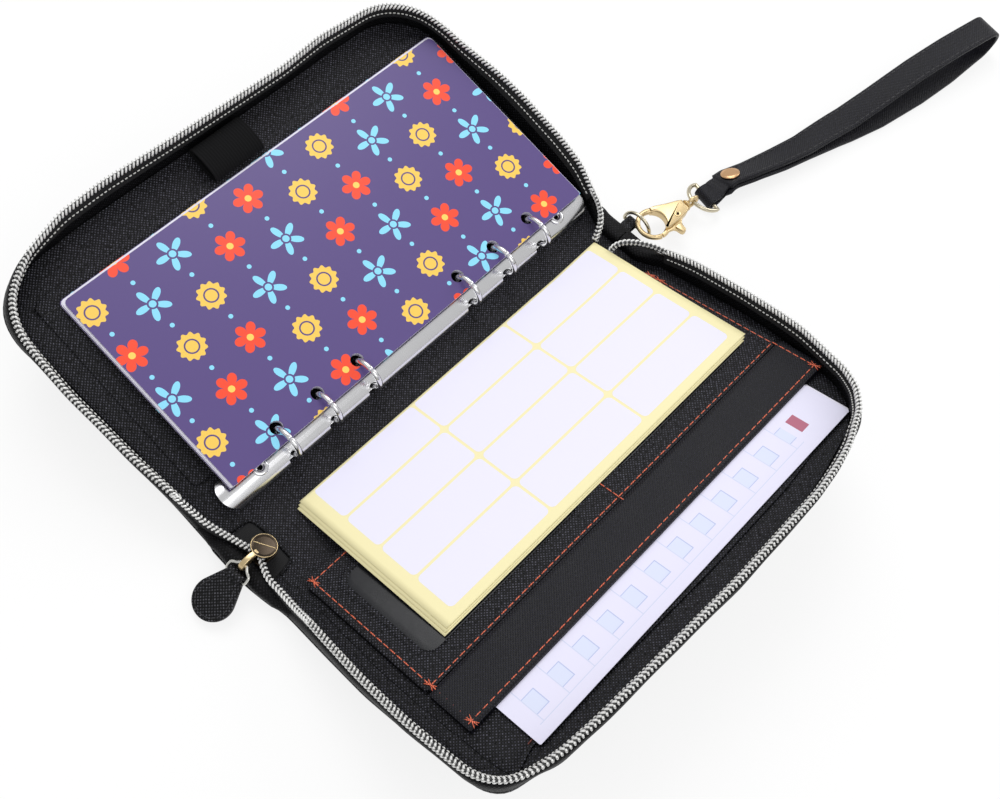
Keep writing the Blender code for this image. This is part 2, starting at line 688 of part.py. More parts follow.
def add_slider(frame):
    """A round top plate and a base plate round the chain, joined by a post, with a lug for the link."""
    centre_y = SLIDER_INSET - COVER_HALF
    tail_y = TAIL_CROWN_Y
    chain_z = TAIL_CROWN_Z
    disc_low = chain_z + SLIDER_CHANNEL / 2
    disc_high = disc_low + DISC_THICKNESS
    base_high = chain_z - SLIDER_CHANNEL / 2
    base_low = base_high - SLIDER_BASE
    disc = add_solid(
        "zip_slider",
        cylinder(DISC_RADIUS, (0, centre_y, 0), "Z", disc_low, disc_high, 2 * ROUND_STEPS),
        frame,
        BRONZE,
    )
    half_width = SLIDER_BASE_WIDTH / 2
    half_length = SLIDER_BASE_LENGTH / 2
    corner = SLIDER_BASE
    outline = rounded_rectangle(
        -half_width, half_width, centre_y - half_length, centre_y + half_length, corner, 3
    )
    join(disc, add_solid("slider_base", prism(outline, base_low, base_high), frame))
    post_y = tail_y + TAIL_RADIUS + SEAT_GAP + POST_RADIUS
    post = cylinder(POST_RADIUS, (0, post_y, 0), "Z", base_low + SLIDER_BASE / 2, disc_low + DISC_THICKNESS / 2)
    join(disc, add_solid("slider_post", post, frame))
    hole_y = LUG_INSET - COVER_HALF
    hole_z = LUG_HOLE_Z
    top = disc_high - DISC_THICKNESS / 4
    root = centre_y - DISC_RADIUS / 2
    neck = tail_y - TAIL_RADIUS - SEAT_GAP
    outline = (
        [(root, top), (root, disc_low), (neck, disc_low), (neck, hole_z)]
        + arc((hole_y, hole_z), LUG_RADIUS, 0, -math.pi, ARC_STEPS)[1:]
        + [(hole_y - LUG_RADIUS / 2, top)]
    )
    lug = add_solid("slider_lug", side_prism(outline, -LUG_THICKNESS / 2, LUG_THICKNESS / 2), frame)
    join(disc, lug)
    bore = cylinder(LUG_HOLE, (0, hole_y, hole_z), "X", -LUG_THICKNESS, LUG_THICKNESS, 16)
    cut(disc, bore, frame, "lug_bore")
    return disc


def add_link(frame):
    """The wire link, narrow in the slider's lug and wide in the leather pull."""
    down = Vector((0, -math.cos(LINK_ANGLE), -math.sin(LINK_ANGLE)))
    half_profile = (
        (LINK_TOP_HALF - LINK_WIRE, 0),
        (LINK_TOP_HALF, LINK_WIRE),
        (LINK_FOOT_HALF, LINK_LENGTH - LINK_SHOULDER),
        (LINK_FOOT_HALF, LINK_LENGTH - LINK_WIRE),
        (LINK_FOOT_HALF - LINK_WIRE, LINK_LENGTH),
    )
    points = [LUG_PLACE + Vector((across, 0, 0)) + down * run for across, run in half_profile]
    points += [LUG_PLACE + Vector((-across, 0, 0)) + down * run for across, run in reversed(half_profile)]
    return wire("pull_link", [tuple(p) for p in points], LINK_WIRE, frame, BRONZE, closed=True)


def add_leather_pull(frame):
    """The leather pull: a teardrop of folded leather whose fold holds the link's foot."""
    neck = LINK_FOOT_HALF - LINK_WIRE - SEAT_GAP
    round_centre = PULL_LENGTH - PULL_HALF_WIDTH
    turn = math.asin((PULL_HALF_WIDTH - neck) / (round_centre * 1.6))
    outline = (
        [(neck, 0)]
        + [(x, -y) for x, y in arc((0, round_centre), PULL_HALF_WIDTH, -turn, math.pi + turn, 2 * ARC_STEPS)]
        + [(-neck, 0)]
    )
    half = PULL_THICKNESS / 2
    pull = add_solid("leather_pull", prism(outline, -half, half), frame, OUTER_LEATHER)
    fold = cylinder(PULL_FOLD_RADIUS, (0, 0, 0), "X", -neck, neck, 20)
    join(pull, add_solid("pull_fold", fold, frame))
    return cut(pull, cylinder(PULL_TUNNEL, (0, 0, 0), "X", -PULL_LENGTH, PULL_LENGTH, 12), frame, "pull_tunnel")


def ring_places():
    """Where the six rings stand along the binder: two groups of three."""
    inner = RING_MIDDLE_SPACE / 2
    return [
        BINDER_SHIFT + side * (inner + k * RING_GROUP_PITCH) for side in (-1, 1) for k in range(3)
    ]


def add_binder(frame):
    """The arched housing with its notches and rivets, and two leaves that carry the half rings."""
    base = LINING_HIGH + LAYER_GAP
    centre = (BINDER_U, base)
    half_length = HOUSING_LENGTH / 2
    low, high = BINDER_SHIFT - half_length, BINDER_SHIFT + half_length

    def arch(shrink):
        return [
            (
                centre[0] + (HOUSING_HALF_WIDTH - shrink) * math.cos(math.pi * k / HOUSING_ARC_STEPS),
                centre[1] + (HOUSING_HEIGHT - shrink) * math.sin(math.pi * k / HOUSING_ARC_STEPS),
            )
            for k in range(HOUSING_ARC_STEPS + 1)
        ]

    outline = arch(0) + list(reversed(arch(HOUSING_SHEET)))
    housing = add_solid("ring_housing", end_prism(outline, low, high), frame, CHROME)
    reach = HOUSING_HALF_WIDTH + SEAT_GAP
    plan = rounded_rectangle(
        BINDER_U - reach, BINDER_U + reach, low, high, HOUSING_HALF_WIDTH, ARC_STEPS
    )
    rounding = prism(plan, base - CUT_OVERRUN, base + 2 * HOUSING_HEIGHT)
    combine(housing, add_solid("housing_plan", rounding, frame), "INTERSECT")
    for number, y in enumerate(ring_places(), start=1):
        for side in (-1, 1):
            notch_centre = (BINDER_U + side * NOTCH_PLACE, y, 0)
            notch = cylinder(NOTCH_RADIUS, notch_centre, "Z", base - CUT_OVERRUN, base + 2 * HOUSING_HEIGHT, 16)
            cut(housing, notch, frame, f"notch_{number}_{'in' if side < 0 else 'out'}")
    rivet_bores(housing, frame, "housing")
    smooth(housing)

    for number, side in enumerate((-1, 1), start=1):
        y = BINDER_SHIFT + side * RIVET_OFFSET
        add_rivet(f"binder_rivet_{number}", frame, (BINDER_U, y), base)

    leaf_low = base + LEAF_LIFT
    leaf_high = leaf_low + LEAF_THICKNESS
    leaf_end = RING_SPAN + LEAF_OVERHANG
    for name, side in (("inner", -1), ("outer", 1)):
        pivot = (BINDER_U + side * LEAF_HALF_WIDTH, BINDER_SHIFT, (leaf_low + leaf_high) / 2)
        moving = frame.at(f"{name}_leaf_pivot", pivot)
        edges = sorted((BINDER_U + side * RING_TIP_GAP / 2, BINDER_U + side * LEAF_HALF_WIDTH))
        outline = [
            (edges[0], BINDER_SHIFT - leaf_end),
            (edges[1], BINDER_SHIFT - leaf_end),
            (edges[1], BINDER_SHIFT + leaf_end),
            (edges[0], BINDER_SHIFT + leaf_end),
        ]
        leaf = add_solid(f"ring_leaf_{name}", prism(outline, leaf_low, leaf_high), moving, CHROME)
        end = math.pi / 2 - RING_TIP_GAP / 2 / RING_RADIUS
        for number, y in enumerate(ring_places(), start=1):
            path = [(BINDER_U + RING_FOOT_PLACE, leaf_low + LEAF_THICKNESS / 2)]
            path += arc((BINDER_U, base + RING_CENTRE_HEIGHT), RING_RADIUS, RING_FOOT_ANGLE, end, RING_ARC_STEPS)
            points = [(BINDER_U + side * (u - BINDER_U), y, h) for u, h in path]
            join(leaf, wire(f"half_ring_{name}_{number}", points, RING_WIRE, moving))
        smooth(leaf)


def add_rivet(name, frame, place, base):
    """A domed rivet, turned from its profile, from the board up through the housing's crown."""
    top = base + HOUSING_HEIGHT
    under = top + LAYER_GAP
    foot = BOARD_LOW + SEAT_GAP
    profile = [
        (0, under + RIVET_DOME),
        (RIVET_HEAD * math.sin(math.pi / 6), under + RIVET_DOME * math.cos(math.pi / 6)),
        (RIVET_HEAD * math.sin(math.pi / 3), under + RIVET_DOME * math.cos(math.pi / 3)),
        (RIVET_HEAD, under),
        (RIVET_SHANK, under),
        (RIVET_SHANK, foot),
        (0, foot),
    ]
    return turned(name, profile, frame, place, CHROME)


def turned(name, profile, frame, place, material):
    """A turned piece: an (radius, h) profile from top to bottom, spun round its upright axis."""
    bm = bmesh.new()
    verts = [bm.verts.new((radius, 0, h)) for radius, h in profile]
    edges = [bm.edges.new(pair) for pair in zip(verts, verts[1:])]
    bmesh.ops.spin(
        bm, geom=verts + edges, cent=(0, 0, 0), axis=(0, 0, 1), angle=2 * math.pi, steps=ROUND_STEPS,
        use_merge=True,
    )
    reach = max(radius for radius, _ in profile)
    bmesh.ops.remove_doubles(bm, verts=bm.verts, dist=reach / (ROUND_STEPS * ROUND_STEPS))
    bmesh.ops.translate(bm, vec=(*place, 0), verts=bm.verts)
    return smooth(add_solid(name, bm, frame, material))


def add_pages(frame):
    """Punched sheets on the rings, tilted so that the lowest one rests on the slip pocket."""
    base = LINING_HIGH + LAYER_GAP
    pivot = (BINDER_U, BINDER_SHIFT, base + RING_CENTRE_HEIGHT)
    lowest = PAGE_TOP_OFFSET - (PAGE_COUNT - 1) * PAGE_PITCH - PAGE_THICKNESS / 2
    rest = FIRST_SEAT + SLIP_POCKET + SEAT_GAP - pivot[2]
    tilt = math.asin((lowest - rest) / PAGE_WIDTH)
    lean = Matrix.Rotation(tilt, 4, "Y")
    moving = frame.at("page_pivot", pivot)
    for number, name in enumerate(PAGE_NAMES[:PAGE_COUNT]):
        offset = PAGE_TOP_OFFSET - number * PAGE_PITCH
        hole = math.sqrt(RING_RADIUS**2 - offset**2) + PAGE_HOLE_PLAY
        inner = hole - PAGE_HOLE_MARGIN
        fan = number * PAGE_FAN
        half = PAGE_LENGTH / 2
        outline = rounded_rectangle(inner, inner + PAGE_WIDTH + fan, fan - half, half + fan, PAGE_CORNER, 3)
        bm = prism(outline, offset - PAGE_THICKNESS / 2, offset + PAGE_THICKNESS / 2)
        sheet = place_leaning(name, bm, moving, pivot, lean, PRINTED_CARD if number in (0, 3) else PAPER)
        for ring, y in enumerate(ring_places(), start=1):
            punch = cylinder(
                PAGE_HOLE_RADIUS, (hole, y - BINDER_SHIFT, 0), "Z", offset - CUT_OVERRUN, offset + CUT_OVERRUN, 16
            )
            cutter = place_leaning(f"{name}_punch_{ring}", punch, moving, pivot, lean, None)
            combine(sheet, cutter, "DIFFERENCE")


def place_leaning(name, bm, frame, pivot, lean, material):
    """A piece drawn about a pivot, leaned there and set in the frame."""
    bmesh.ops.transform(bm, matrix=Matrix.Translation(pivot) @ lean, verts=bm.verts)
    return add_solid(name, bm, frame, material)


def add_left_contents(frame):
    half = COVER_HALF - INNER_INSET - POCKET_END_GAP
    outline = [
        (SLIP_POCKET_START, -half),
        (SLIP_POCKET_MOUTH, -half),
        (SLIP_POCKET_MOUTH, half),
        (SLIP_POCKET_START, half),
    ]
    pocket = prism(outline, FIRST_SEAT, FIRST_SEAT + SLIP_POCKET)
    add_solid("slip_pocket", pocket, frame, OUTER_LEATHER)
    centre_h = FIRST_SEAT + PEN_LOOP_RADIUS
    profile = arc((PEN_LOOP_U, centre_h), PEN_LOOP_RADIUS, 0, 2 * math.pi, ROUND_STEPS)[:-1]
    half = PEN_LOOP_LENGTH / 2
    loop = add_solid("pen_loop", end_prism(profile, -half, half), frame, ELASTIC)
    bore = cylinder(PEN_LOOP_BORE, (PEN_LOOP_U, 0, centre_h), "Y", -half - CUT_OVERRUN, half + CUT_OVERRUN)
    cut(loop, bore, frame, "pen_bore")
    smooth(loop)


def add_right_contents(frame):
    """Back pocket, card panel with two windows, strip pocket, and the paper in and on them."""
    low, high = CONTENT_SHIFT - PANEL_HALF, CONTENT_SHIFT + PANEL_HALF
    back = rounded_rectangle(
        BACK_POCKET_START,
        BACK_POCKET_MOUTH,
        CONTENT_SHIFT - BACK_POCKET_HALF,
        CONTENT_SHIFT + BACK_POCKET_HALF,
        PANEL_CORNER,
        3,
    )
    add_solid("back_pocket", prism(back, FIRST_SEAT, FIRST_SEAT + BACK_POCKET), frame, OUTER_LEATHER)

    recess_low, recess_high = low + PANEL_BORDER, high - PANEL_BORDER
    card = rounded_rectangle(PANEL_START, PANEL_SPLIT - SEAT_GAP, low, high, PANEL_CORNER, 3)
    panel = add_solid("card_pocket", prism(card, FIRST_SEAT, PANEL_TOP), frame, OUTER_LEATHER)
    recess = [
        (PANEL_START + PANEL_BORDER, recess_low),
        (PANEL_SPLIT + CUT_OVERRUN, recess_low),
        (PANEL_SPLIT + CUT_OVERRUN, recess_high),
        (PANEL_START + PANEL_BORDER, recess_high),
    ]
    cut(panel, prism(recess, FIRST_SEAT - CUT_OVERRUN, PANEL_ROOF), frame, "card_recess")
    for number, (start, end) in enumerate(((low, CONTENT_SHIFT), (CONTENT_SHIFT, high)), start=1):
        bounds = (
            PANEL_START + WINDOW_MARGIN,
            PANEL_SPLIT - WINDOW_MARGIN,
            start + WINDOW_MARGIN,
            end - WINDOW_MARGIN,
        )
        opening = rounded_rectangle(*bounds, WINDOW_CORNER)
        cut(panel, prism(opening, FIRST_SEAT, PANEL_TOP + CUT_OVERRUN), frame, f"window_cut_{number}")
        pane = rounded_rectangle(
            bounds[0] + SEAT_GAP,
            bounds[1] - SEAT_GAP,
            bounds[2] + SEAT_GAP,
            bounds[3] - SEAT_GAP,
            WINDOW_CORNER - SEAT_GAP,
        )
        middle = PANEL_TOP - PANEL_THICKNESS / 2
        sheet = prism(pane, middle - WINDOW_SHEET / 2, middle + WINDOW_SHEET / 2)
        add_solid(f"window_{number}", sheet, frame, CLEAR_VINYL)

    strip = [(PANEL_SPLIT, low), (STRIP_MOUTH, low), (STRIP_MOUTH, high), (PANEL_SPLIT, high)]
    pocket = add_solid("strip_pocket", prism(strip, FIRST_SEAT, PANEL_TOP), frame, STRAP_LEATHER)
    recess = [
        (PANEL_SPLIT - CUT_OVERRUN, recess_low),
        (STRIP_MOUTH + CUT_OVERRUN, recess_low),
        (STRIP_MOUTH + CUT_OVERRUN, recess_high),
        (PANEL_SPLIT - CUT_OVERRUN, recess_high),
    ]
    cut(pocket, prism(recess, FIRST_SEAT - CUT_OVERRUN, PANEL_ROOF), frame, "strip_recess")

    sliding = frame.at("budget_slide", (BUDGET_START, CONTENT_SHIFT, BUDGET_LOW))
    half = BUDGET_LENGTH / 2
    for number in range(SHEET_COUNT):
        start = BUDGET_START - number * BUDGET_FAN
        shift = CONTENT_SHIFT + number * BUDGET_FAN
        bottom = BUDGET_LOW + number * (SHEET_THICKNESS + SHEET_GAP)
        outline = [
            (start, shift - half),
            (start + BUDGET_WIDTH, shift - half),
            (start + BUDGET_WIDTH, shift + half),
            (start, shift + half),
        ]
        sheet = prism(outline, bottom, bottom + SHEET_THICKNESS)
        add_solid(f"budget_sheet_{number + 1}", sheet, sliding, PAPER)
    add_label_sheets(frame)


def add_label_sheets(frame):
    """Loose label sheets that lean from the card panel onto the spine's lining."""
    outer_u = LABEL_START + LABEL_WIDTH
    outer_h = PANEL_TOP + LAYER_GAP
    reach = LINING_HIGH + LAYER_GAP - LABEL_START * math.sin(RIGHT_REST_ANGLE)
    inner_h = reach / math.cos(RIGHT_REST_ANGLE)
    slope = math.atan2(inner_h - outer_h, LABEL_WIDTH)
    lean = Matrix.Rotation(slope, 4, "Y")
    for number in range(SHEET_COUNT):
        fan = (SHEET_COUNT - 1 - number) * LABEL_FAN
        bottom = number * (SHEET_THICKNESS + SHEET_GAP)
        half = LABEL_LENGTH / 2
        outline = rounded_rectangle(
            -LABEL_WIDTH + fan / 2, fan / 2, -half - fan, half - fan, LABEL_CORNER, 3
        )
        bm = prism(outline, bottom, bottom + SHEET_THICKNESS)
        place = (outer_u, LABEL_SHIFT, outer_h)
        place_leaning(f"label_sheet_{number + 1}", bm, frame, place, lean, LABEL_PAPER)


def add_ring_tab(frame):
    """The leather tab that folds round the case D-ring's bar."""
    bar_y = COVER_HALF + TAB_REACH
    half = TAB_THICKNESS / 2
    start = COVER_HALF
    outline = [
        (start, CASE_RING_HEIGHT - half),
        (bar_y, CASE_RING_HEIGHT - half),
        (bar_y, CASE_RING_HEIGHT + half),
        (start, CASE_RING_HEIGHT + half),
    ]
    tab = add_solid("ring_tab", side_prism(outline, TAB_LEFT, TAB_RIGHT), frame, OUTER_LEATHER)
    fold = cylinder(TAB_FOLD_RADIUS, (0, bar_y, CASE_RING_HEIGHT), "X", TAB_LEFT, TAB_RIGHT, 20)
    join(tab, add_solid("tab_fold", fold, frame))
    bore = cylinder(
        CASE_RING_WIRE + PIVOT_CLEARANCE,
        (0, bar_y, CASE_RING_HEIGHT),
        "X",
        TAB_LEFT - CUT_OVERRUN,
        TAB_RIGHT + CUT_OVERRUN,
        14,
    )
    return cut(tab, bore, frame, "tab_bore")


def add_case_ring(frame):
    """A standing D-ring: a straight bar in the tab and a bow above it."""
    bow = [
        (CASE_RING_HALF * math.cos(math.pi * k / RING_ARC_STEPS), CASE_RING_RISE * math.sin(math.pi * k / RING_ARC_STEPS))
        for k in range(RING_ARC_STEPS + 1)
    ]
    bar_y = COVER_HALF + TAB_REACH
    points = [(x, bar_y, CASE_RING_HEIGHT + z) for x, z in bow]
    return wire("case_ring", points, CASE_RING_WIRE, frame, PALE_GOLD, closed=True)


def add_clasp(frame):
    """The clasp's body and hook; its cheeks hold the trigger on a pin and its tail holds the swivel."""
    half = BODY_THICKNESS / 2
    wide, middle, narrow = BODY_HALF_WIDTHS
    outline = [
        (BODY_ROOT, -wide),
        (BODY_SHOULDER, -middle),
        (BODY_REACH, -narrow),
        (BODY_REACH, narrow),
        (BODY_SHOULDER, middle),
        (BODY_ROOT, wide),
    ]
    body = add_solid("clasp_hook", prism(outline, -half, half), frame, PALE_GOLD)
    eye_bore = cylinder(
        EYE_RADIUS - EYE_WIRE, (0, 0, 0), "Z", -BODY_THICKNESS, BODY_THICKNESS, 2 * ROUND_STEPS
    )
    cut(body, eye_bore, frame, "eye_bore")
    path = arc((0, 0), EYE_RADIUS, EYE_START_ANGLE, EYE_END_ANGLE, EYE_ARC_STEPS)
    hook = wire("hook_wire", [(t, n, 0) for t, n in path], EYE_WIRE, frame)
    join(body, hook)
    slot_half = GATE_THICKNESS / 2 + SEAT_GAP
    slot = [
        (BODY_ROOT - CUT_OVERRUN, GATE_PIVOT_N - GATE_BOSS - 3 * SEAT_GAP),
        (SLOT_END + 2 * SEAT_GAP, GATE_PIVOT_N - GATE_BOSS - 3 * SEAT_GAP),
        (SLOT_END + 2 * SEAT_GAP, THUMB_N + CUT_OVERRUN),
        (BODY_ROOT - CUT_OVERRUN, THUMB_N + CUT_OVERRUN),
    ]
    cut(body, prism(slot, -slot_half, slot_half), frame, "gate_slot")
    pin_bore = cylinder(
        PIN_RADIUS + SEAT_GAP, (GATE_PIVOT_T, GATE_PIVOT_N, 0), "Z", -BODY_THICKNESS, BODY_THICKNESS, 14
    )
    cut(body, pin_bore, frame, "pin_bore")
    swivel_bore = cylinder(
        SWIVEL_POST + SEAT_GAP, (0, 0, 0), "X", SWIVEL_START - SEAT_GAP, BODY_REACH + CUT_OVERRUN, 14
    )
    cut(body, swivel_bore, frame, "swivel_bore")
    pin = cylinder(PIN_RADIUS, (GATE_PIVOT_T, GATE_PIVOT_N, 0), "Z", -half, half, 14)
    smooth(add_solid("trigger_pin", pin, frame, PALE_GOLD))


def add_trigger(frame):
    """The gate that closes the hook, with its boss on the pin and a thumb lever outside the body."""
    outer = EYE_RADIUS + GATE_RADIAL / 2
    inner = EYE_RADIUS - GATE_RADIAL / 2
    boss_far = GATE_PIVOT_T + GATE_BOSS - SEAT_GAP
    outline = (
        arc((0, 0), outer, GATE_END_ANGLE, math.radians(62), 6)
        + [
            (THUMB_T - GATE_BOSS, THUMB_N - GATE_BOSS / 4),
            (THUMB_T - GATE_BOSS / 4, THUMB_N + GATE_BOSS / 4),
            (THUMB_T + GATE_BOSS / 2, THUMB_N - GATE_BOSS / 2),
            (GATE_PIVOT_T + GATE_BOSS / 2, GATE_PIVOT_N + GATE_BOSS),
            (boss_far, GATE_PIVOT_N),
            (GATE_PIVOT_T + GATE_BOSS / 2, GATE_PIVOT_N - GATE_BOSS + SEAT_GAP),
            (GATE_PIVOT_T - GATE_BOSS / 2, GATE_PIVOT_N - GATE_BOSS + SEAT_GAP),
            (GATE_PIVOT_T - GATE_BOSS, GATE_PIVOT_N),
        ]
        + arc((0, 0), inner, GATE_START_ANGLE, GATE_END_ANGLE, 8)
    )
    half = GATE_THICKNESS / 2
    trigger = add_solid("clasp_trigger", prism(outline, -half, half), frame, PALE_GOLD)
    bore = cylinder(
        PIN_RADIUS + SEAT_GAP, (GATE_PIVOT_T, GATE_PIVOT_N, 0), "Z", -BODY_THICKNESS, BODY_THICKNESS, 14
    )
    return cut(trigger, bore, frame, "trigger_bore")


def add_swivel(frame):
    """A post in the clasp's tail, a flange and the eye that holds the strap's D-ring."""
    flange = BODY_REACH + SEAT_GAP
    post = add_solid(
        "clasp_swivel",
        cylinder(SWIVEL_POST, (0, 0, 0), "X", SWIVEL_START, flange + SWIVEL_FLANGE_THICKNESS / 2, 14),
        frame,
        PALE_GOLD,
    )
    collar = cylinder(SWIVEL_FLANGE, (0, 0, 0), "X", flange, flange + SWIVEL_FLANGE_THICKNESS, 20)
    join(post, add_solid("swivel_collar", collar, frame))
    points = [
        (SWIVEL_EYE_T + t, 0, z) for t, z in arc((0, 0), SWIVEL_EYE_RADIUS, 0, 2 * math.pi, ROUND_STEPS)[:-1]
    ]
    return join(post, wire("swivel_eye", points, SWIVEL_EYE_WIRE, frame, closed=True))


def add_strap_ring(frame):
    """The strap's D-ring: its bow in the swivel's eye, its bar in the strap's fold."""
    drop = CLASP_HEIGHT - STRAP_BAR_HEIGHT
    along = math.sqrt(STRAP_RING_LENGTH**2 - drop**2)
    depth = STRAP_RING_LENGTH - STRAP_RING_SIDE
    points = []
    for k in range(RING_ARC_STEPS + 1):
        angle = math.pi * k / RING_ARC_STEPS
        share = depth * (1 - math.sin(angle)) / STRAP_RING_LENGTH
        points.append((STRAP_RING_T + share * along, STRAP_RING_HALF * math.cos(angle), -share * drop))
    for side in (-1, 1):
        points.append((STRAP_RING_T + along, side * STRAP_RING_HALF, -drop))
    return wire("strap_ring", points, STRAP_WIRE, frame, PALE_GOLD, closed=True)


def strap_bar_t():
    drop = CLASP_HEIGHT - STRAP_BAR_HEIGHT
    return STRAP_RING_T + math.sqrt(STRAP_RING_LENGTH**2 - drop**2)


def strap_path():
    """The strap's middle line, as (distance from the bar, height over the floor) once round the loop."""
    fold = STRAP_WIRE + PIVOT_CLEARANCE + STRAP_THICKNESS / 2
    floor = STRAP_BAR_HEIGHT - fold
    stacked = floor + STRAP_THICKNESS + STRAP_STACK_GAP
    top = floor + 2 * STRAP_LOOP_RADIUS
    turn_at = STRAP_LENGTH - STRAP_LOOP_RADIUS
    points = [(0, floor), (STRAP_STACK_END, floor)]
    steps = STRAP_RISE_STEPS
    points += [(STRAP_STACK_END + (turn_at - STRAP_STACK_END) * k / steps, floor) for k in range(1, steps)]
    turn = arc((turn_at, floor + STRAP_LOOP_RADIUS), STRAP_LOOP_RADIUS, -math.pi / 2, math.pi / 2, STRAP_TURN_STEPS)
    points += turn
    for k in range(1, steps + 1):
        share = k / steps
        ease = (1 + math.cos(math.pi * share)) / 2
        points.append((turn_at + (STRAP_STACK_END - turn_at) * share, stacked + (top - stacked) * ease))
    for k in range(1, ARC_STEPS):
        share = k / ARC_STEPS
        ease = (1 - math.cos(math.pi * share)) / 2
        height = stacked + (STRAP_BAR_HEIGHT + fold - stacked) * ease
        points.append((STRAP_FOLD_RUN * (1 - share), height))
    points += arc((0, STRAP_BAR_HEIGHT), fold, math.pi / 2, math.pi * 3 / 2, STRAP_TURN_STEPS)[:-1]
    return points


def add_strap(frame):
    """The wrist strap: one leather band folded round the bar, riveted and looped."""
    bar_t = strap_bar_t()
    lift = -CLASP_HEIGHT
    half = STRAP_WIDTH / 2
    bm = bmesh.new()
    rows = [
        [bm.verts.new((bar_t + t, side * half, z + lift)) for side in (-1, 1)] for t, z in strap_path()
    ]
    for a, b in zip(rows, rows[1:] + rows[:1]):
        bm.faces.new((a[0], b[0], b[1], a[1]))
    strap = add_solid("strap_loop", bm, frame, STRAP_LEATHER)
    thicken = strap.modifiers.new("leather", "SOLIDIFY")
    thicken.thickness = STRAP_THICKNESS
    thicken.offset = 0
    thicken.use_even_offset = True
    rivet_t = bar_t + STRAP_RIVET_T
    bore = cylinder(STRAP_RIVET_SHANK + SEAT_GAP, (rivet_t, 0, 0), "Z", lift - CUT_OVERRUN, CLASP_HEIGHT, 16)
    cut(strap, bore, frame, "strap_bore")
    fold = STRAP_WIRE + PIVOT_CLEARANCE + STRAP_THICKNESS / 2
    floor = STRAP_BAR_HEIGHT - fold - STRAP_THICKNESS / 2 + lift
    top = floor + 2 * STRAP_THICKNESS + STRAP_STACK_GAP + SEAT_GAP
    cap = top + STRAP_RIVET_CAP
    profile = [
        (0, cap),
        (STRAP_RIVET_HEAD * math.sin(math.pi / 4), top + STRAP_RIVET_CAP * math.cos(math.pi / 4)),
        (STRAP_RIVET_HEAD, top),
        (STRAP_RIVET_SHANK, top),
        (STRAP_RIVET_SHANK, floor),
        (0, floor),
    ]
    turned("strap_rivet", profile, frame, (rivet_t, 0), COPPER_GOLD)


# Where the lower tail's crown, the slider's lug and the clasp's hook lie
TAIL_BASE_Y = COVER_HALF - WALL_THICKNESS - SEAT_GAP - TAIL_RADIUS
TAIL_INWARD = SLIDER_INSET - WALL_THICKNESS - SEAT_GAP - 2.5 * TAIL_RADIUS
TAIL_CROWN_Y = -(TAIL_BASE_Y - TAIL_INWARD)
TAIL_CROWN_Z = GUSSET_TOP + SEAT_GAP + TAIL_RADIUS + TAIL_RISE
LUG_HOLE_Z = TAIL_CROWN_Z - LUG_THICKNESS / 3
LUG_PLACE = Vector((0, LUG_INSET - COVER_HALF, LUG_HOLE_Z))
LINK_FOOT = LUG_PLACE + LINK_LENGTH * Vector((0, -math.cos(LINK_ANGLE), -math.sin(LINK_ANGLE)))
CASE_BAR_Y = COVER_HALF + TAB_REACH
POST_X = CASE_RING_HALF * math.sqrt(1 - ((CLASP_HEIGHT - CASE_RING_HEIGHT) / CASE_RING_RISE) ** 2)
EYE_PLACE = Vector((POST_X - CLASP_SIDE, CASE_BAR_Y + CLASP_AHEAD, CLASP_HEIGHT))


def build_wallet():
    root = Frame("spine_frame")
    left = Frame(
        "left_fold",
        Matrix.Translation((-SPINE_WIDTH / 2, 0, 0)) @ Matrix.Rotation(LEFT_REST_ANGLE, 4, "Y"),
        root,
        mirrored=True,
    )
    right = Frame(
        "right_fold",
        Matrix.Translation((SPINE_WIDTH / 2, 0, 0)) @ Matrix.Rotation(-RIGHT_REST_ANGLE, 4, "Y"),
        root,
    )
    add_spine(root)
    add_end_gusset("lower_end_gusset", root, -1, GUSSET_LEAN)
    add_end_gusset("upper_end_gusset", root, 1, 0)
    add_zip_tail("lower_zip_tail", root, -1, TAIL_INWARD)
    add_zip_tail("upper_zip_tail", root, 1, 0)
    add_slider(root)
    add_link(root.at("link_pivot", LUG_PLACE))
    pull_drop = LINK_FOOT.z - PULL_THICKNESS / 2 - PULL_FLOOR_GAP
    pull = Frame(
        "pull_pivot",
        Matrix.Translation(LINK_FOOT) @ Matrix.Rotation(math.asin(pull_drop / PULL_LENGTH), 4, "X"),
        root,
    )
    add_leather_pull(pull)

    add_cover("left", left, 0)
    add_left_contents(left)
    add_binder(left)
    add_pages(left)
    add_cover("right", right, 1 / 2)
    add_right_contents(right)

    add_ring_tab(root)
    add_case_ring(root.at("case_ring_pivot", (0, CASE_BAR_Y, CASE_RING_HEIGHT)))
    towards_strap = Matrix.Translation(EYE_PLACE) @ Matrix.Rotation(math.pi / 2 - CLASP_TURN, 4, "Z")
    clasp = Frame("clasp_axes", towards_strap @ Matrix.Rotation(math.pi, 4, "X"), root)
    add_clasp(clasp)
    add_trigger(clasp.at("trigger_pivot", (GATE_PIVOT_T, GATE_PIVOT_N, 0)))
    strap = Frame("strap_axes", towards_strap, root)
    add_swivel(strap.at("swivel_pivot", (SWIVEL_START, 0, 0)))
    add_strap_ring(strap.at("strap_ring_pivot", (STRAP_RING_T, 0, 0)))
    add_strap(strap.at("strap_pivot", (strap_bar_t(), 0, STRAP_BAR_HEIGHT - CLASP_HEIGHT)))


build_wallet()
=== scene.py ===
"""Zip-around binder wallet, open on its spine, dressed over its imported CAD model."""

import math

import bmesh
import bpy
import numpy as np
from mathutils import Matrix, Vector


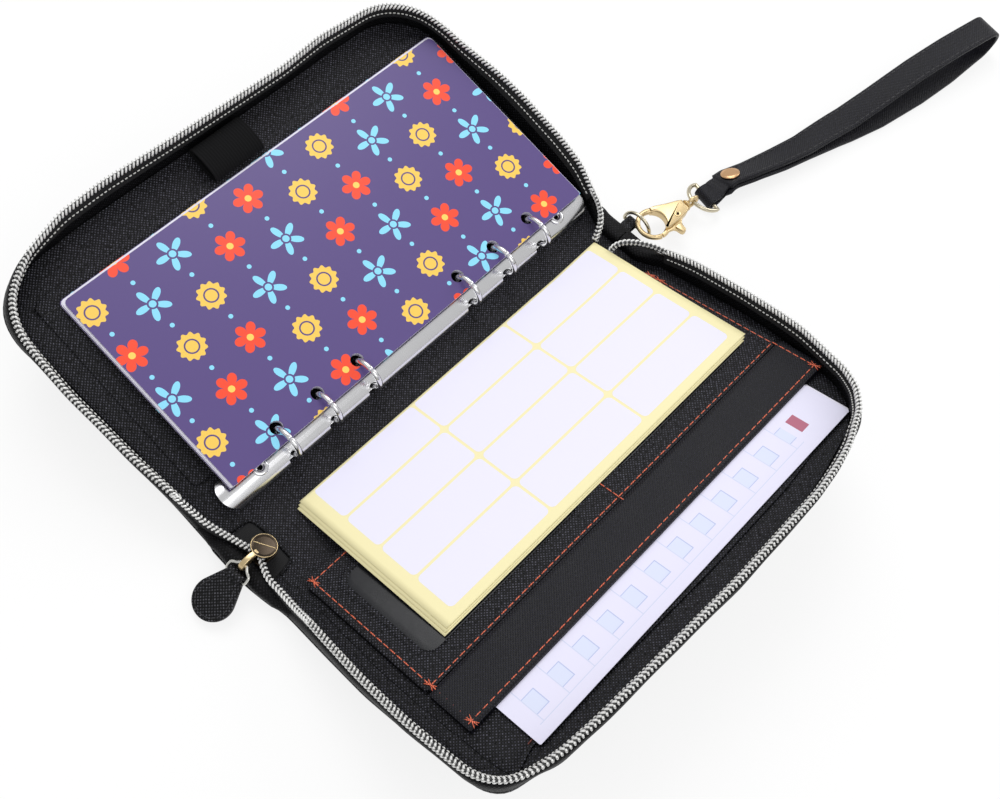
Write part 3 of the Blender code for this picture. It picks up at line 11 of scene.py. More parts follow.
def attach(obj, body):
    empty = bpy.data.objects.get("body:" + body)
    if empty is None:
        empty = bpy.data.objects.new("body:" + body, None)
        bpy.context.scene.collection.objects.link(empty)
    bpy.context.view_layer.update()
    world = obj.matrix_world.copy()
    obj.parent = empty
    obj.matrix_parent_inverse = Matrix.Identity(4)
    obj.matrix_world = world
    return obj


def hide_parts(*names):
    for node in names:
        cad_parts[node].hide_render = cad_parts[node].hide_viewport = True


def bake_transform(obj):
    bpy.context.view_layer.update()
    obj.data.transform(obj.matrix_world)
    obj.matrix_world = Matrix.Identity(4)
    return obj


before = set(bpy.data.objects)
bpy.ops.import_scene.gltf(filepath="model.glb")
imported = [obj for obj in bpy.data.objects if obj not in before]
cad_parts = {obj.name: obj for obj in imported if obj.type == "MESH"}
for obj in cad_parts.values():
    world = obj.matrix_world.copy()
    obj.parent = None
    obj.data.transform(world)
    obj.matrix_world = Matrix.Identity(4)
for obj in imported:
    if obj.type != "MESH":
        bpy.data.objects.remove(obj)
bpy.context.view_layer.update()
MM = 0.001

# The viewpoint. A long lens stands about 45 cm over the table, to the lower right of the spine,
# and is rolled a little, so that the spine runs from the lower left to the upper right.
CAMERA_AZIMUTH = math.radians(32.89)
CAMERA_ELEVATION = math.radians(63.69)
CAMERA_ROLL = math.radians(11.98)
CAMERA_PLACE = Vector((121.29, -153.61, 399.32)) * MM
FOCAL_PIXELS = 1202.4
PICTURE_WIDTH = 1000

camera_data = bpy.data.cameras.new("studio_camera")
camera = bpy.data.objects.new("studio_camera", camera_data)
bpy.context.scene.collection.objects.link(camera)
bpy.context.scene.camera = camera
camera_data.sensor_width = 36
camera_data.lens = 36 * FOCAL_PIXELS / PICTURE_WIDTH
camera_data.clip_start = 0.01
back = Vector((
    math.sin(CAMERA_AZIMUTH) * math.cos(CAMERA_ELEVATION),
    -math.cos(CAMERA_AZIMUTH) * math.cos(CAMERA_ELEVATION),
    math.sin(CAMERA_ELEVATION),
))
level = Vector((math.cos(CAMERA_AZIMUTH), math.sin(CAMERA_AZIMUTH), 0))
upright = back.cross(level)
right = level * math.cos(CAMERA_ROLL) + upright * math.sin(CAMERA_ROLL)
upward = upright * math.cos(CAMERA_ROLL) - level * math.sin(CAMERA_ROLL)
camera.matrix_world = Matrix.Translation(CAMERA_PLACE) @ Matrix((right, upward, back)).transposed().to_4x4()


def linear(hex_colour):
    """sRGB hex to linear light: each channel is divided by 12.92 when dark, and else raised to 2.4."""
    channels = [int(hex_colour[k:k + 2], 16) / 255 for k in (1, 3, 5)]
    return tuple(c / 12.92 if c <= 0.04045 else ((c + 0.055) / 1.055) ** 2.4 for c in channels) + (1.0,)


def add(tree, kind, inputs=None, **settings):
    """Adds one shader node: settings are its properties, inputs are values or the sockets to link."""
    made = tree.nodes.new("ShaderNode" + kind)
    for key, value in settings.items():
        setattr(made, key, value)
    for key, value in (inputs or {}).items():
        if isinstance(value, bpy.types.NodeSocket):
            tree.links.new(value, made.inputs[key])
        else:
            made.inputs[key].default_value = value
    return made


def finish_with(name, **sockets):
    """A material with one Principled shader; sockets gives its plain values."""
    material = bpy.data.materials.new(name)
    material.use_nodes = True
    shader = material.node_tree.nodes["Principled BSDF"]
    for key, value in sockets.items():
        shader.inputs[key.replace("_", " ").title().replace("Ior", "IOR")].default_value = value
    return material, material.node_tree, shader


# The studio. A white sweep under soft light: matt paper on the table, and a pale room all round
# that metal and gloss reflect.
floor_material, tree, shader = finish_with("white sweep paper", roughness=0.9)
shader.inputs["Base Color"].default_value = linear("#F4F4F4")
seen = add(tree, "LightPath")
glow = add(tree, "Emission", {"Color": (1, 1, 1, 1), "Strength": 1.0})
rays = {0: seen.outputs["Is Camera Ray"], 1: seen.outputs["Is Glossy Ray"]}
direct = add(tree, "Math", rays, operation="MAXIMUM")
shown = add(tree, "Math", {0: direct.outputs[0], 1: seen.outputs["Is Transmission Ray"]}, operation="MAXIMUM")
share = add(tree, "Math", {0: shown.outputs[0], 1: 0.8}, operation="MULTIPLY")
mixed = add(tree, "MixShader", {0: share.outputs[0], 1: shader.outputs[0], 2: glow.outputs[0]})
tree.links.new(mixed.outputs[0], tree.nodes["Material Output"].inputs["Surface"])
floor_mesh = bpy.data.meshes.new("table")
reach = 6.0
floor_mesh.from_pydata(
    [(-reach, -reach, -0.0003), (reach, -reach, -0.0003), (reach, reach, -0.0003), (-reach, reach, -0.0003)],
    [], [(0, 1, 2, 3)],
)
floor_mesh.materials.append(floor_material)
table = bpy.data.objects.new("table", floor_mesh)
bpy.context.scene.collection.objects.link(table)

world = bpy.data.worlds.new("studio")
bpy.context.scene.world = world
world.use_nodes = True
sky = world.node_tree
sky.nodes.clear()
path = add(sky, "LightPath")
room = add(sky, "Background", {"Color": (1, 1, 1, 1), "Strength": 0.62})
white = add(sky, "Background", {"Color": (1, 1, 1, 1), "Strength": 1.0})
chosen = add(sky, "MixShader", {0: path.outputs["Is Camera Ray"], 1: room.outputs[0], 2: white.outputs[0]})
add(sky, "OutputWorld", {"Surface": chosen.outputs[0]})

for lamp_name, place, size, power in (
    ("key_softbox", (-0.75, 0.55, 1.25), 0.9, 11.0),
    ("fill_softbox", (0.9, -0.35, 1.1), 1.1, 5.0),
    ("rim_softbox", (0.25, 1.25, 0.7), 0.7, 4.0),
):
    lamp_data = bpy.data.lights.new(lamp_name, "AREA")
    lamp_data.size = size
    lamp_data.energy = power
    lamp = bpy.data.objects.new(lamp_name, lamp_data)
    bpy.context.scene.collection.objects.link(lamp)
    lamp.matrix_world = Matrix.Translation(place) @ Vector(place).to_track_quat("Z", "Y").to_matrix().to_4x4()

bpy.context.scene.view_settings.view_transform = "Standard"


# Outer leather. Two black sheets of cross-grain PU leather make the shell: each is cut as one piece
# from the middle of the spine to a cover's rim, and bends at the fold. A thinner one lines the inside.
SPINE_HALF = 14.5 * MM
COVER_WIDTH = 118.5 * MM
COVER_HALF = 100.5 * MM
CORNER = 27.0 * MM
FOLD_ANGLES = {-1: math.radians(16), 1: math.radians(18)}
COVER_BODIES = {-1: "left_cover", 1: "right_cover"}
SIDE_NAMES = {-1: "left", 1: "right"}
END_NAMES = {-1: "lower", 1: "upper"}
LEATHER = 1.2 * MM
LINING_TOP = 3.4 * MM
LINING_THICKNESS = 0.5 * MM
FOLD_SOFTNESS = 5.0 * MM


def on_cover(side, u, y, h):
    """A cover's own measures in the row frame: u out from the fold and h above the shell, both turned
    by the fold's angle, with y kept. side is -1 for the left cover and 1 for the right one."""
    angle = FOLD_ANGLES[side]
    u, y, h = np.broadcast_arrays(u, y, h)
    x = side * (SPINE_HALF + u * math.cos(angle) - h * math.sin(angle))
    return np.stack([x, y, u * math.sin(angle) + h * math.cos(angle)], axis=-1)


def surface(name, grids, material, uvs=None, wrap=False, caps=False, smooth=True, closed=False):
    """Makes one mesh of one or more grids of points (rows, columns, 3): each four neighbours make a face.
    With wrap, the last column joins the first; with caps, the first and last rows are closed."""
    grids = [grids] if isinstance(grids, np.ndarray) else list(grids)
    uvs = [uvs] if isinstance(uvs, np.ndarray) else uvs
    faces, flat, start = [], [], 0
    for number, points in enumerate(grids):
        rows, columns = points.shape[:2]
        index = start + np.arange(rows * columns).reshape(rows, columns)
        beside = np.roll(index, -1, axis=1)
        first, last = index[0].tolist(), index[-1].tolist()
        if not wrap:
            index, beside = index[:, :-1], beside[:, :-1]
        faces += np.stack([index[:-1], index[1:], beside[1:], beside[:-1]], axis=-1).reshape(-1, 4).tolist()
        if caps:
            faces += [first[::-1], last]
        if uvs is None:
            along = np.linalg.norm(np.diff(points, axis=0, prepend=points[:1]), axis=-1).mean(1).cumsum()
            across = np.linalg.norm(np.diff(points, axis=1, prepend=points[:, :1]), axis=-1).mean(0).cumsum()
            flat.append(np.stack(np.meshgrid(along, across, indexing="ij"), axis=-1).reshape(-1, 2))
        else:
            flat.append(np.asarray(uvs[number]).reshape(-1, 2))
        start += rows * columns
    mesh = bpy.data.meshes.new(name)
    mesh.from_pydata(np.concatenate([g.reshape(-1, 3) for g in grids]).tolist(), [], faces)
    corners = np.empty(len(mesh.loops), np.int32)
    mesh.loops.foreach_get("vertex_index", corners)
    layer = mesh.uv_layers.new(name="metres")
    layer.data.foreach_set("uv", np.concatenate(flat)[corners].astype(np.float32).ravel())
    if caps or closed:
        shape = bmesh.new()
        shape.from_mesh(mesh)
        bmesh.ops.recalc_face_normals(shape, faces=shape.faces)
        shape.to_mesh(mesh)
        shape.free()
    mesh.materials.append(material)
    piece = bpy.data.objects.new(name, mesh)
    bpy.context.scene.collection.objects.link(piece)
    if smooth:
        mesh.shade_smooth()
        mesh.set_sharp_from_angle(angle=math.radians(48))
    return piece


def thicken(piece, thickness, offset=-1.0, rim=0.0, segments=2):
    """Gives a sheet its thickness, and rounds its cut edge."""
    wall = piece.modifiers.new("thickness", "SOLIDIFY")
    wall.thickness = thickness
    wall.offset = offset
    if rim:
        edge = piece.modifiers.new("edge", "BEVEL")
        edge.width = rim
        edge.segments = segments
        edge.limit_method = "ANGLE"
        edge.angle_limit = math.radians(50)
    return piece


def cross_grain(name, colour, pitch, depth, roughness, shine=0.16, painted_glint_peak=30.0):
    """PU leather embossed with a cross grain: two sets of fine parallel ridges, at right angles and on the
    bias, roughened by the embossing roll. Its colour is lifted in many small points at the ridge crests:
    painted glints, painted highlights in the base colour. It reads a UV in metres."""
    material, tree, shader = finish_with(name, roughness=roughness, specular_ior_level=shine)
    place = add(tree, "UVMap", uv_map="metres").outputs[0]
    bias = add(tree, "Mapping", {"Vector": place, "Rotation": (0, 0, math.radians(45))})
    ridges = []
    for direction in ("X", "Y"):
        band = add(
            tree, "TexWave", {
                "Vector": bias.outputs[0], "Scale": 0.314 / pitch, "Distortion": 1.6, "Detail": 2.0,
                "Detail Scale": 1.4,
            }, bands_direction=direction,
        )
        ridges.append(band.outputs["Fac"])
    crossed = add(tree, "Math", {0: ridges[0], 1: ridges[1]}, operation="MULTIPLY")
    wear = add(tree, "TexNoise", {"Vector": place, "Scale": 90.0, "Detail": 3.0})
    # Painted glints: a coarse noise picks ridge crests, and there the base colour is raised many times over,
    # as painted highlights.
    painted_glint_noise = add(tree, "TexNoise", {"Vector": place, "Scale": 0.8 / pitch, "Detail": 1.0})
    tone = add(tree, "MapRange", {"Value": wear.outputs["Fac"], "To Min": 0.7, "To Max": 1.3})
    painted_glint_gain = add(
        tree, "MapRange",
        {"Value": painted_glint_noise.outputs["Fac"], "From Min": 0.32, "From Max": 0.7, "To Min": 1.0, "To Max": painted_glint_peak},
    )
    crests = add(tree, "Math", {0: crossed.outputs[0], 1: 1.5}, operation="POWER")
    painted_glints = add(tree, "Math", {0: crests.outputs[0], 1: painted_glint_gain.outputs[0]}, operation="MULTIPLY")
    # The base colour is the wear tone times these painted glints over a floor of 0.4.
    lifted = add(tree, "Math", {0: painted_glints.outputs[0], 1: 0.4}, operation="ADD")
    both = add(tree, "Math", {0: tone.outputs[0], 1: lifted.outputs[0]}, operation="MULTIPLY")
    dyed = add(tree, "VectorMath", {0: linear(colour)[:3], "Scale": both.outputs[0]}, operation="SCALE")
    tree.links.new(dyed.outputs[0], shader.inputs["Base Color"])
    bump = add(tree, "Bump", {"Height": crossed.outputs[0], "Strength": 1.0, "Distance": depth})
    fine = add(
        tree, "Bump",
        {"Height": wear.outputs["Fac"], "Strength": 0.2, "Distance": depth, "Normal": bump.outputs[0]}
    )
    tree.links.new(fine.outputs[0], shader.inputs["Normal"])
    gloss = add(
        tree, "MapRange",
        {"Value": wear.outputs["Fac"], "To Min": roughness - 0.08, "To Max": roughness + 0.1}
    )
    tree.links.new(gloss.outputs[0], shader.inputs["Roughness"])
    return material


shell_leather = cross_grain("cross-grain PU leather", "#0F0F11", 1.0 * MM, 0.2 * MM, 0.46)
lining_leather = cross_grain("cross-grain lining", "#0F0F12", 0.95 * MM, 0.18 * MM, 0.48)


# The soft rim isn't straight: at each place along it, in millimetres from the slider's end of the cover, it
# is drawn in by the second value at the shell and by the third at the zip's coil. It leans out where that is
# less. The values were read on the photo and turned into millimetres by a measuring script, then rounded.
DRAWN_IN = {
    -1: [
        (0, 0.4, 1.9), (11, 0.5, -0.3), (32, 0.2, -2.5), (62, -1.2, -4.1), (80, -1.8, -3.4),
        (96, -3.7, -1.4), (108, -2.1, 0.6), (120, 0, 0.1), (132, 0, -3), (150, 0, -3.7), (183, 0, -2.2),
        (230, 0, -1), (250, 0, -2.4), (280, 0, -0.3), (304, 0, 1.9), (314, 0, 0.9), (334, 0, -3),
        (346, 0, -4.1), (368, 0, -4.4), (381, 0, -3.3), (393, 0, 0.4),
    ],
    1: [
        (0, 2, 3.2), (20, 0.9, 1.2), (40, 0.1, -0.3), (60, 0.9, -0.9), (80, 2.4, -0.2), (92, 2.8, 0.8),
        (98, 4.2, 1.4), (104, 7.8, 2.8), (110, 9.5, 4.3), (118, 9, 5), (136, 7.5, 3.1), (160, 6.3, 1.8),
        (198, 4.3, 0), (240, 4.3, -0.1), (254, 6.1, 1.7), (262, 7.8, 3.4), (270, 9, 7), (284, 10.3, 9.5),
        (299, 10, 9.8), (309, 8.5, 8.5), (319, 5.5, 5.5), (329, 3, 2.7), (340, 1.5, 1.4), (358, 0, 0.1),
        (377, 0, -0.5), (393, 0, 0),
    ],
}
WALL_START = 8.0 * MM
RIM_STRAIGHT = COVER_WIDTH - CORNER - WALL_START
RIM_ARC = math.pi / 2 * (CORNER - 1.8 * MM)
RIM_SIDE = 2 * (COVER_HALF - CORNER)
RIM_ENDS = np.cumsum([RIM_STRAIGHT, RIM_ARC, RIM_SIDE, RIM_ARC])
RIM_LENGTH = RIM_ENDS[-1] + RIM_STRAIGHT
COIL_HEIGHT = 13.45 * MM
RIM_FIRM = 3.5 * MM


def ease(share):
    """A smooth step from 0 to 1: three squares less two cubes."""
    share = np.clip(share, 0, 1)
    return share * share * (3 - 2 * share)


def drawn_in(side, place, height):
    """How far the rim is drawn in: the table's values at a place, averaged over 13 mm, and a straight line
    between the shell's level and the coil's."""
    knots = np.array(DRAWN_IN[side]) * MM
    even = np.arange(-20, 420) * MM
    window = np.hanning(13) / np.hanning(13).sum()
    at_shell, at_coil = (
        np.interp(
            place, even,
            np.convolve(np.pad(np.interp(even, knots[:, 0], knots[:, k]), 6, "edge"), window, "valid")
        )
        for k in (1, 2)
    )
    return at_shell + (at_coil - at_shell) * height / COIL_HEIGHT


def sculpted(side, u, y, height):
    """Moves a sheet's places with the rim, along the nearest rim's normal: all the way at the edge, and by a
    smooth step not at all from one corner's radius inside it or in the spine's middle."""
    u, y = np.broadcast_arrays(u, y)
    over_u = np.maximum(u - (COVER_WIDTH - CORNER), 0)
    over_y = np.maximum(np.abs(y) - (COVER_HALF - CORNER), 0)
    quarter = np.arctan2(over_u, over_y) / (math.pi / 2)
    lower = np.where(over_u > 0, RIM_ENDS[0] + quarter * RIM_ARC, u - WALL_START)
    upper = np.where(over_u > 0, RIM_ENDS[3] - quarter * RIM_ARC, RIM_LENGTH + WALL_START - u)
    outer = RIM_ENDS[1] + y + COVER_HALF - CORNER
    place = np.where(over_y > 0, np.where(y < 0, lower, upper), outer)
    reach = np.maximum(np.hypot(over_u, over_y), 0.001 * MM)
    share = (1 - ease((CORNER - reach - RIM_FIRM) / (CORNER - RIM_FIRM))) * ease(
        (u + SPINE_HALF) / (SPINE_HALF + WALL_START)
    )
    move = drawn_in(side, place, height) * share / reach
    return u - move * over_u, y - move * over_y * np.sign(y)


def folded_strip(side, distance, y, height):
    """A point on a sheet that runs from the spine's middle over the fold: the slope turns from level to the
    cover's angle by a smooth step round the fold, and height is measured square to the sheet."""
    fine = np.linspace(0, SPINE_HALF + COVER_WIDTH, 1200)
    turn = np.clip((fine - SPINE_HALF) / (2 * FOLD_SOFTNESS) + 0.5, 0, 1)
    slope = FOLD_ANGLES[side] * turn * turn * (3 - 2 * turn)
    step = fine[1] - fine[0]
    run = np.concatenate([[0], np.cumsum(np.cos((slope[1:] + slope[:-1]) / 2)) * step])
    rise = np.concatenate([[0], np.cumsum(np.sin((slope[1:] + slope[:-1]) / 2)) * step])
    x = np.interp(distance, fine, run) - np.interp(distance, fine, np.sin(slope)) * height
    z = np.interp(distance, fine, rise) + np.interp(distance, fine, np.cos(slope)) * height
    x, y, z = np.broadcast_arrays(x, y, z)
    return np.stack([side * x, y, z], axis=-1)


def shell_sheet(name, side, height, inset, thickness, material, inner_start, ends):
    """A sheet from the spine to the rim. Its half length at each distance is the cover's, less the inset,
    and falls along a quarter circle at the outer corners."""
    far = SPINE_HALF + COVER_WIDTH - inset
    radius = CORNER - inset
    straight = np.linspace(inner_start, far - radius, 46)
    turning = far - radius + radius * np.sin(np.linspace(0, math.pi / 2, 19))[1:]
    distance = np.concatenate([straight, turning])[:, None]
    across = np.clip((distance - (far - radius)) / radius, 0, 1)
    half = COVER_HALF - inset - radius + radius * np.sqrt(1 - across**2)
    half = np.where(distance < SPINE_HALF, half + ends, half)
    share = np.linspace(-1, 1, 81)[None, :]
    u, y = sculpted(side, distance - SPINE_HALF, share * half, height)
    distance = u + SPINE_HALF
    points = folded_strip(side, distance, y, height)
    uv = np.stack(np.broadcast_arrays(distance, y), axis=-1)
    if side < 0:
        points, uv = points[:, ::-1], uv[:, ::-1]
    piece = surface(name, points, material, uv)
    thicken(piece, thickness, 1.0, 0.25 * MM)
    if inner_start > SPINE_HALF:
        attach(piece, COVER_BODIES[side])
        return piece
    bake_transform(piece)
    return piece


for side in (-1, 1):
    outer = shell_sheet(f"{SIDE_NAMES[side]}_shell", side, 0, 0, LEATHER, shell_leather, 0, 0.5 * MM)
    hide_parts(f"{SIDE_NAMES[side]}_leather", "spine_leather")
    inner = shell_sheet(
        f"{SIDE_NAMES[side]}_inner_lining", side, LINING_TOP - LINING_THICKNESS, 3.2 * MM, LINING_THICKNESS,
        lining_leather, 0, 0,
    )
    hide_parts(f"{SIDE_NAMES[side]}_lining", "spine_lining")

# Stiffeners. Grey board between leather and lining, punched from sheet and hidden when made up.
greyboard, tree, shader = finish_with("pressed greyboard", roughness=0.85)
fibre = add(
    tree, "TexNoise", {"Vector": add(tree, "TexCoord").outputs["Object"], "Scale": 900.0, "Detail": 4.0}
)
pulp = add(tree, "Mix", {"Factor": fibre.outputs["Fac"]}, data_type="RGBA")
pulp.inputs["A"].default_value = linear("#6F675A")
pulp.inputs["B"].default_value = linear("#8D8474")
tree.links.new(pulp.outputs["Result"], shader.inputs["Base Color"])
spine_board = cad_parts["spine_board"]
spine_board.data.materials.clear()
spine_board.data.materials.append(greyboard)
BOARD = 1.6 * MM
for side in (-1, 1):
    board = shell_sheet(
        f"{SIDE_NAMES[side]}_stiffener", side, LEATHER + 0.05 * MM, 4.5 * MM, BOARD, greyboard,
        SPINE_HALF + 3 * MM, 0
    )
    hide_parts(f"{SIDE_NAMES[side]}_board")


# Side walls. A band of the shell's leather, padded and folded over at its top edge, stands round each
# cover's three free sides; its ends run down towards the fold, most of all at the slider's end.
TAPER_END = 26.0 * MM
TAPER_DROPS = {-1: 6.0 * MM, 1: 1.5 * MM}


def rim(side, distance, inset, height, follow=1.0):
    """A place round the rim: straight, quarter turn, straight, quarter turn, straight. Inset moves it in from
    the drawn-in edge, and near the fold its height drops with the square of the distance, times follow."""
    radius = CORNER - inset - drawn_in(side, distance, height)
    centre_u = COVER_WIDTH - CORNER
    centre_y = COVER_HALF - CORNER
    d = distance
    ends = RIM_ENDS
    first = np.clip((d - ends[0]) / RIM_ARC, 0, 1) * math.pi / 2
    second = np.clip((d - ends[2]) / RIM_ARC, 0, 1) * math.pi / 2
    u = np.where(d < ends[0], WALL_START + d, centre_u + radius * np.sin(first))
    u = np.where(d > ends[2], centre_u + radius * np.cos(second), u)
    u = np.where(d > ends[3], centre_u - (d - ends[3]), u)
    y = np.where(d < ends[1], -centre_y - radius * np.cos(first), d - ends[1] - centre_y)
    y = np.where(d > ends[2], centre_y + radius * np.sin(second), y)
    drop = np.where(y < 0, TAPER_DROPS[-1], TAPER_DROPS[1])
    fall = drop * np.clip((TAPER_END - u) / (TAPER_END - WALL_START), 0, 1.3) ** 2
    return on_cover(side, u, y, height - fall * follow)


def rim_run(count, start=0.0, end=0.0):
    """Distances along the rim, from its start to its end, each moved in by a margin."""
    return np.linspace(start, RIM_LENGTH - end, count)[:, None]


WALL_PROFILE = np.array([
    (0.7, 1.15), (0.25, 1.7), (-0.05, 3.2), (-0.25, 5.4), (-0.2, 7.6), (0.1, 9.1), (0.7, 9.95),
    (1.4, 10.15), (2.1, 9.9), (2.75, 9.2), (3.0, 8.0), (3.1, 5.5), (3.1, 3.6), (2.9, 2.9), (2.2, 1.4),
]) * MM


def round_profile(profile, steps=3):
    """Rounds a closed outline by cutting its corners at a quarter and three quarters, several times over."""
    for _ in range(steps - 1):
        ahead = np.roll(profile, -1, axis=0)
        profile = np.stack([0.75 * profile + 0.25 * ahead, 0.25 * profile + 0.75 * ahead], axis=1).reshape(
            -1, 2
        )
    return profile


wall_profile = round_profile(WALL_PROFILE, 2)
# The last value sets the peak of this leather's painted glints.
wall_leather = cross_grain("soft wall leather", "#0B0B0D", 1.0 * MM, 0.12 * MM, 0.5, 0.13, 7.0)
for side in (-1, 1):
    run = rim_run(361)
    wave = 0.12 * MM * np.sin(run * 95 + side) + 0.08 * MM * np.sin(run * 231)
    inset = wall_profile[None, :, 0]
    height = wall_profile[None, :, 1]
    swell = np.clip((height - 2 * MM) / (4 * MM), 0, 1) * np.clip((10 * MM - height) / (3 * MM), 0, 1)
    lift = np.clip((height - 1.4 * MM) / (8.4 * MM), 0, 1)
    points = rim(side, run, inset - wave * swell, height, lift)
    wall = surface(f"{SIDE_NAMES[side]}_wall", points, wall_leather, wrap=True, caps=True)
    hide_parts(f"{SIDE_NAMES[side]}_side_wall")
    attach(wall, COVER_BODIES[side])

# Ends of the spine. The same leather closes both ends as a soft folded gusset: thick in the middle, it
# runs over the fold into each side wall.
GUSSET_TOP = 7.6 * MM
GUSSET_DEPTH = 7.4 * MM
GUSSET_FLAT = 7.5 * MM
END_REACH = SPINE_HALF + WALL_START + 0.8 * MM
WALL_LOW = 1.15 * MM
WALL_HIGH = 10.15 * MM
WALL_DEPTH = 3.1 * MM


for side in (-1, 1):
    for end in (-1, 1):
        distance = np.linspace(0.2 * MM, END_REACH, 34)[:, None]
        share = ease((distance - GUSSET_FLAT) / (END_REACH - GUSSET_FLAT))
        top = GUSSET_TOP + (WALL_HIGH - TAPER_DROPS[end] - GUSSET_TOP) * share
        depth = GUSSET_DEPTH + (WALL_DEPTH - GUSSET_DEPTH) * share
        inset = wall_profile[None, :, 0] * depth / WALL_DEPTH + 0.2 * MM * (1 - share)
        height = WALL_LOW + (wall_profile[None, :, 1] - WALL_LOW) * (top - WALL_LOW) / (WALL_HIGH - WALL_LOW)
        crease = 0.35 * MM * np.sin(distance * 520 + end) * np.sin(np.clip(share, 0, 1) * math.pi)
        drawn = share * drawn_in(side, 0.0 if end < 0 else RIM_LENGTH, height)
        points = folded_strip(side, distance, end * (COVER_HALF - inset - drawn + crease), height)
        closing = surface(
            f"{SIDE_NAMES[side]}_{END_NAMES[end]}_end_wall", points, wall_leather, wrap=True, caps=True
        )
        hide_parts(f"{END_NAMES[end]}_end_gusset")
        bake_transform(closing)


# Zip. A woven black tape stands on each wall, and a coil of silver nylon is sewn along its edge with
# white thread, which shows as a row of short stitches on the inner face.
COIL_INSET = 1.7 * MM
COIL_ACROSS = 0.88 * MM
COIL_UP = 0.8 * MM
COIL_WIRE = 0.39 * MM
COIL_PITCH = 1.6 * MM
COIL_CHEVRON = 0.6 * MM
COIL_STEPS = 14
ZIP_START = 12.0 * MM
SEAM_PITCH = 1.75 * MM
SEAM_STITCH = 1.15 * MM
SEAM_THREAD = 0.27 * MM
SEAM_INSET = 3.2 * MM
SEAM_HEIGHT = 10.9 * MM
TAPE_PROFILE = np.array([
    (3.25, 8.3), (3.05, 9.9), (2.55, 11.7), (1.9, 13.2), (1.5, 13.2), (2.1, 11.6),
    (2.5, 9.9),
    (2.6, 8.3),
]) * MM

tape_cloth, tree, shader = finish_with("woven zip tape", roughness=0.85)
shader.inputs["Base Color"].default_value = linear("#0F0F11")
place = add(tree, "UVMap", uv_map="metres").outputs[0]
weft = add(tree, "TexWave", {"Vector": place, "Scale": 0.314 / (0.7 * MM), "Distortion": 0.5})
cloth_bump = add(tree, "Bump", {"Height": weft.outputs["Fac"], "Strength": 0.6, "Distance": 0.1 * MM})
tree.links.new(cloth_bump.outputs[0], shader.inputs["Normal"])

coil_nylon, tree, shader = finish_with("silver nylon coil", roughness=0.32, metallic=0.15)
place = add(tree, "TexCoord").outputs["Object"]
lustre = add(tree, "TexNoise", {"Vector": place, "Scale": 1400.0, "Detail": 2.0})
tint = add(tree, "Mix", {"Factor": lustre.outputs["Fac"]}, data_type="RGBA")
tint.inputs["A"].default_value = linear("#D9D9D7")
tint.inputs["B"].default_value = linear("#FAFAF8")
tree.links.new(tint.outputs["Result"], shader.inputs["Base Color"])

coil_core, tree, shader = finish_with("grey filler cord", roughness=0.6)
place = add(tree, "TexCoord").outputs["Object"]
strand = add(tree, "TexNoise", {"Vector": place, "Scale": 1600.0, "Detail": 2.0})
tint = add(tree, "Mix", {"Factor": strand.outputs["Fac"]}, data_type="RGBA")
tint.inputs["A"].default_value = linear("#26262A")
tint.inputs["B"].default_value = linear("#3E3E3C")
tree.links.new(tint.outputs["Result"], shader.inputs["Base Color"])

white_thread, tree, shader = finish_with("white sewing thread", roughness=0.6)
place = add(tree, "TexCoord").outputs["Object"]
twist = add(tree, "TexWave", {"Vector": place, "Scale": 0.314 / (0.5 * MM)}, bands_direction="DIAGONAL")
shader.inputs["Base Color"].default_value = linear("#D6D6D2")
thread_bump = add(tree, "Bump", {"Height": twist.outputs["Fac"], "Strength": 0.5, "Distance": 0.06 * MM})
tree.links.new(thread_bump.outputs[0], shader.inputs["Normal"])


def sweep(path, profile, guide, closed=False):
    """Carries an outline along a path. Its first measure lies along guide, square to the path, and its second
    square to both. The outline is (columns, 2), or (rows, columns, 2) where it changes along the path."""
    path = np.asarray(path, float)
    ahead = np.roll(path, -1, axis=0) - np.roll(path, 1, axis=0) if closed else np.gradient(path, axis=0)
    ahead = ahead / np.linalg.norm(ahead, axis=1, keepdims=True)
    guide = np.broadcast_to(np.asarray(guide, float), path.shape)
    across = guide - ahead * (guide * ahead).sum(axis=1, keepdims=True)
    across = across / np.linalg.norm(across, axis=1, keepdims=True)
    above = np.cross(across, ahead)
    profile = np.broadcast_to(profile, (len(path),) + np.shape(profile)[-2:])
    points = path[:, None] + across[:, None] * profile[..., :1] + above[:, None] * profile[..., 1:]
    points = points[:, ::-1]
    return np.concatenate([points, points[:1]]) if closed else points


def circle(radius, sides=10):
    """A round outline; radius may hold one value for each place along a path."""
    angle = np.linspace(0, 2 * math.pi, sides, endpoint=False)
    ring = np.stack([np.cos(angle), np.sin(angle)], axis=-1)
    return ring * radius if np.ndim(radius) == 0 else ring[None] * np.asarray(radius)[:, None, None]


def coil(name, centre, across, upward):
    """A helix round a centre line. The wire goes round once in each pitch, on an ellipse whose half axes are
    the arrays across and upward, and it runs ahead in the middle of each turn, which makes chevrons."""
    length = np.linalg.norm(np.diff(centre, axis=0), axis=1).sum()
    turns = int(length / COIL_PITCH)
    share = np.linspace(0, 1, turns * COIL_STEPS + 1)
    angle = share * turns * 2 * math.pi
    known = np.concatenate([[0], np.linalg.norm(np.diff(centre, axis=0), axis=1).cumsum()]) / length
    led = (share * length + COIL_CHEVRON * (1 - np.abs(np.cos(angle)))) / (length + COIL_CHEVRON)
    middle, sideways, above = (
        np.stack([np.interp(led, known, a[:, k]) for k in range(3)], axis=-1)
        for a in (centre, across, upward)
    )
    wire = middle + sideways * np.cos(angle)[:, None] + above * np.sin(angle)[:, None]
    return surface(
        name, sweep(wire, circle(COIL_WIRE, 6), np.gradient(middle, axis=0)), coil_nylon, wrap=True, caps=True
    )


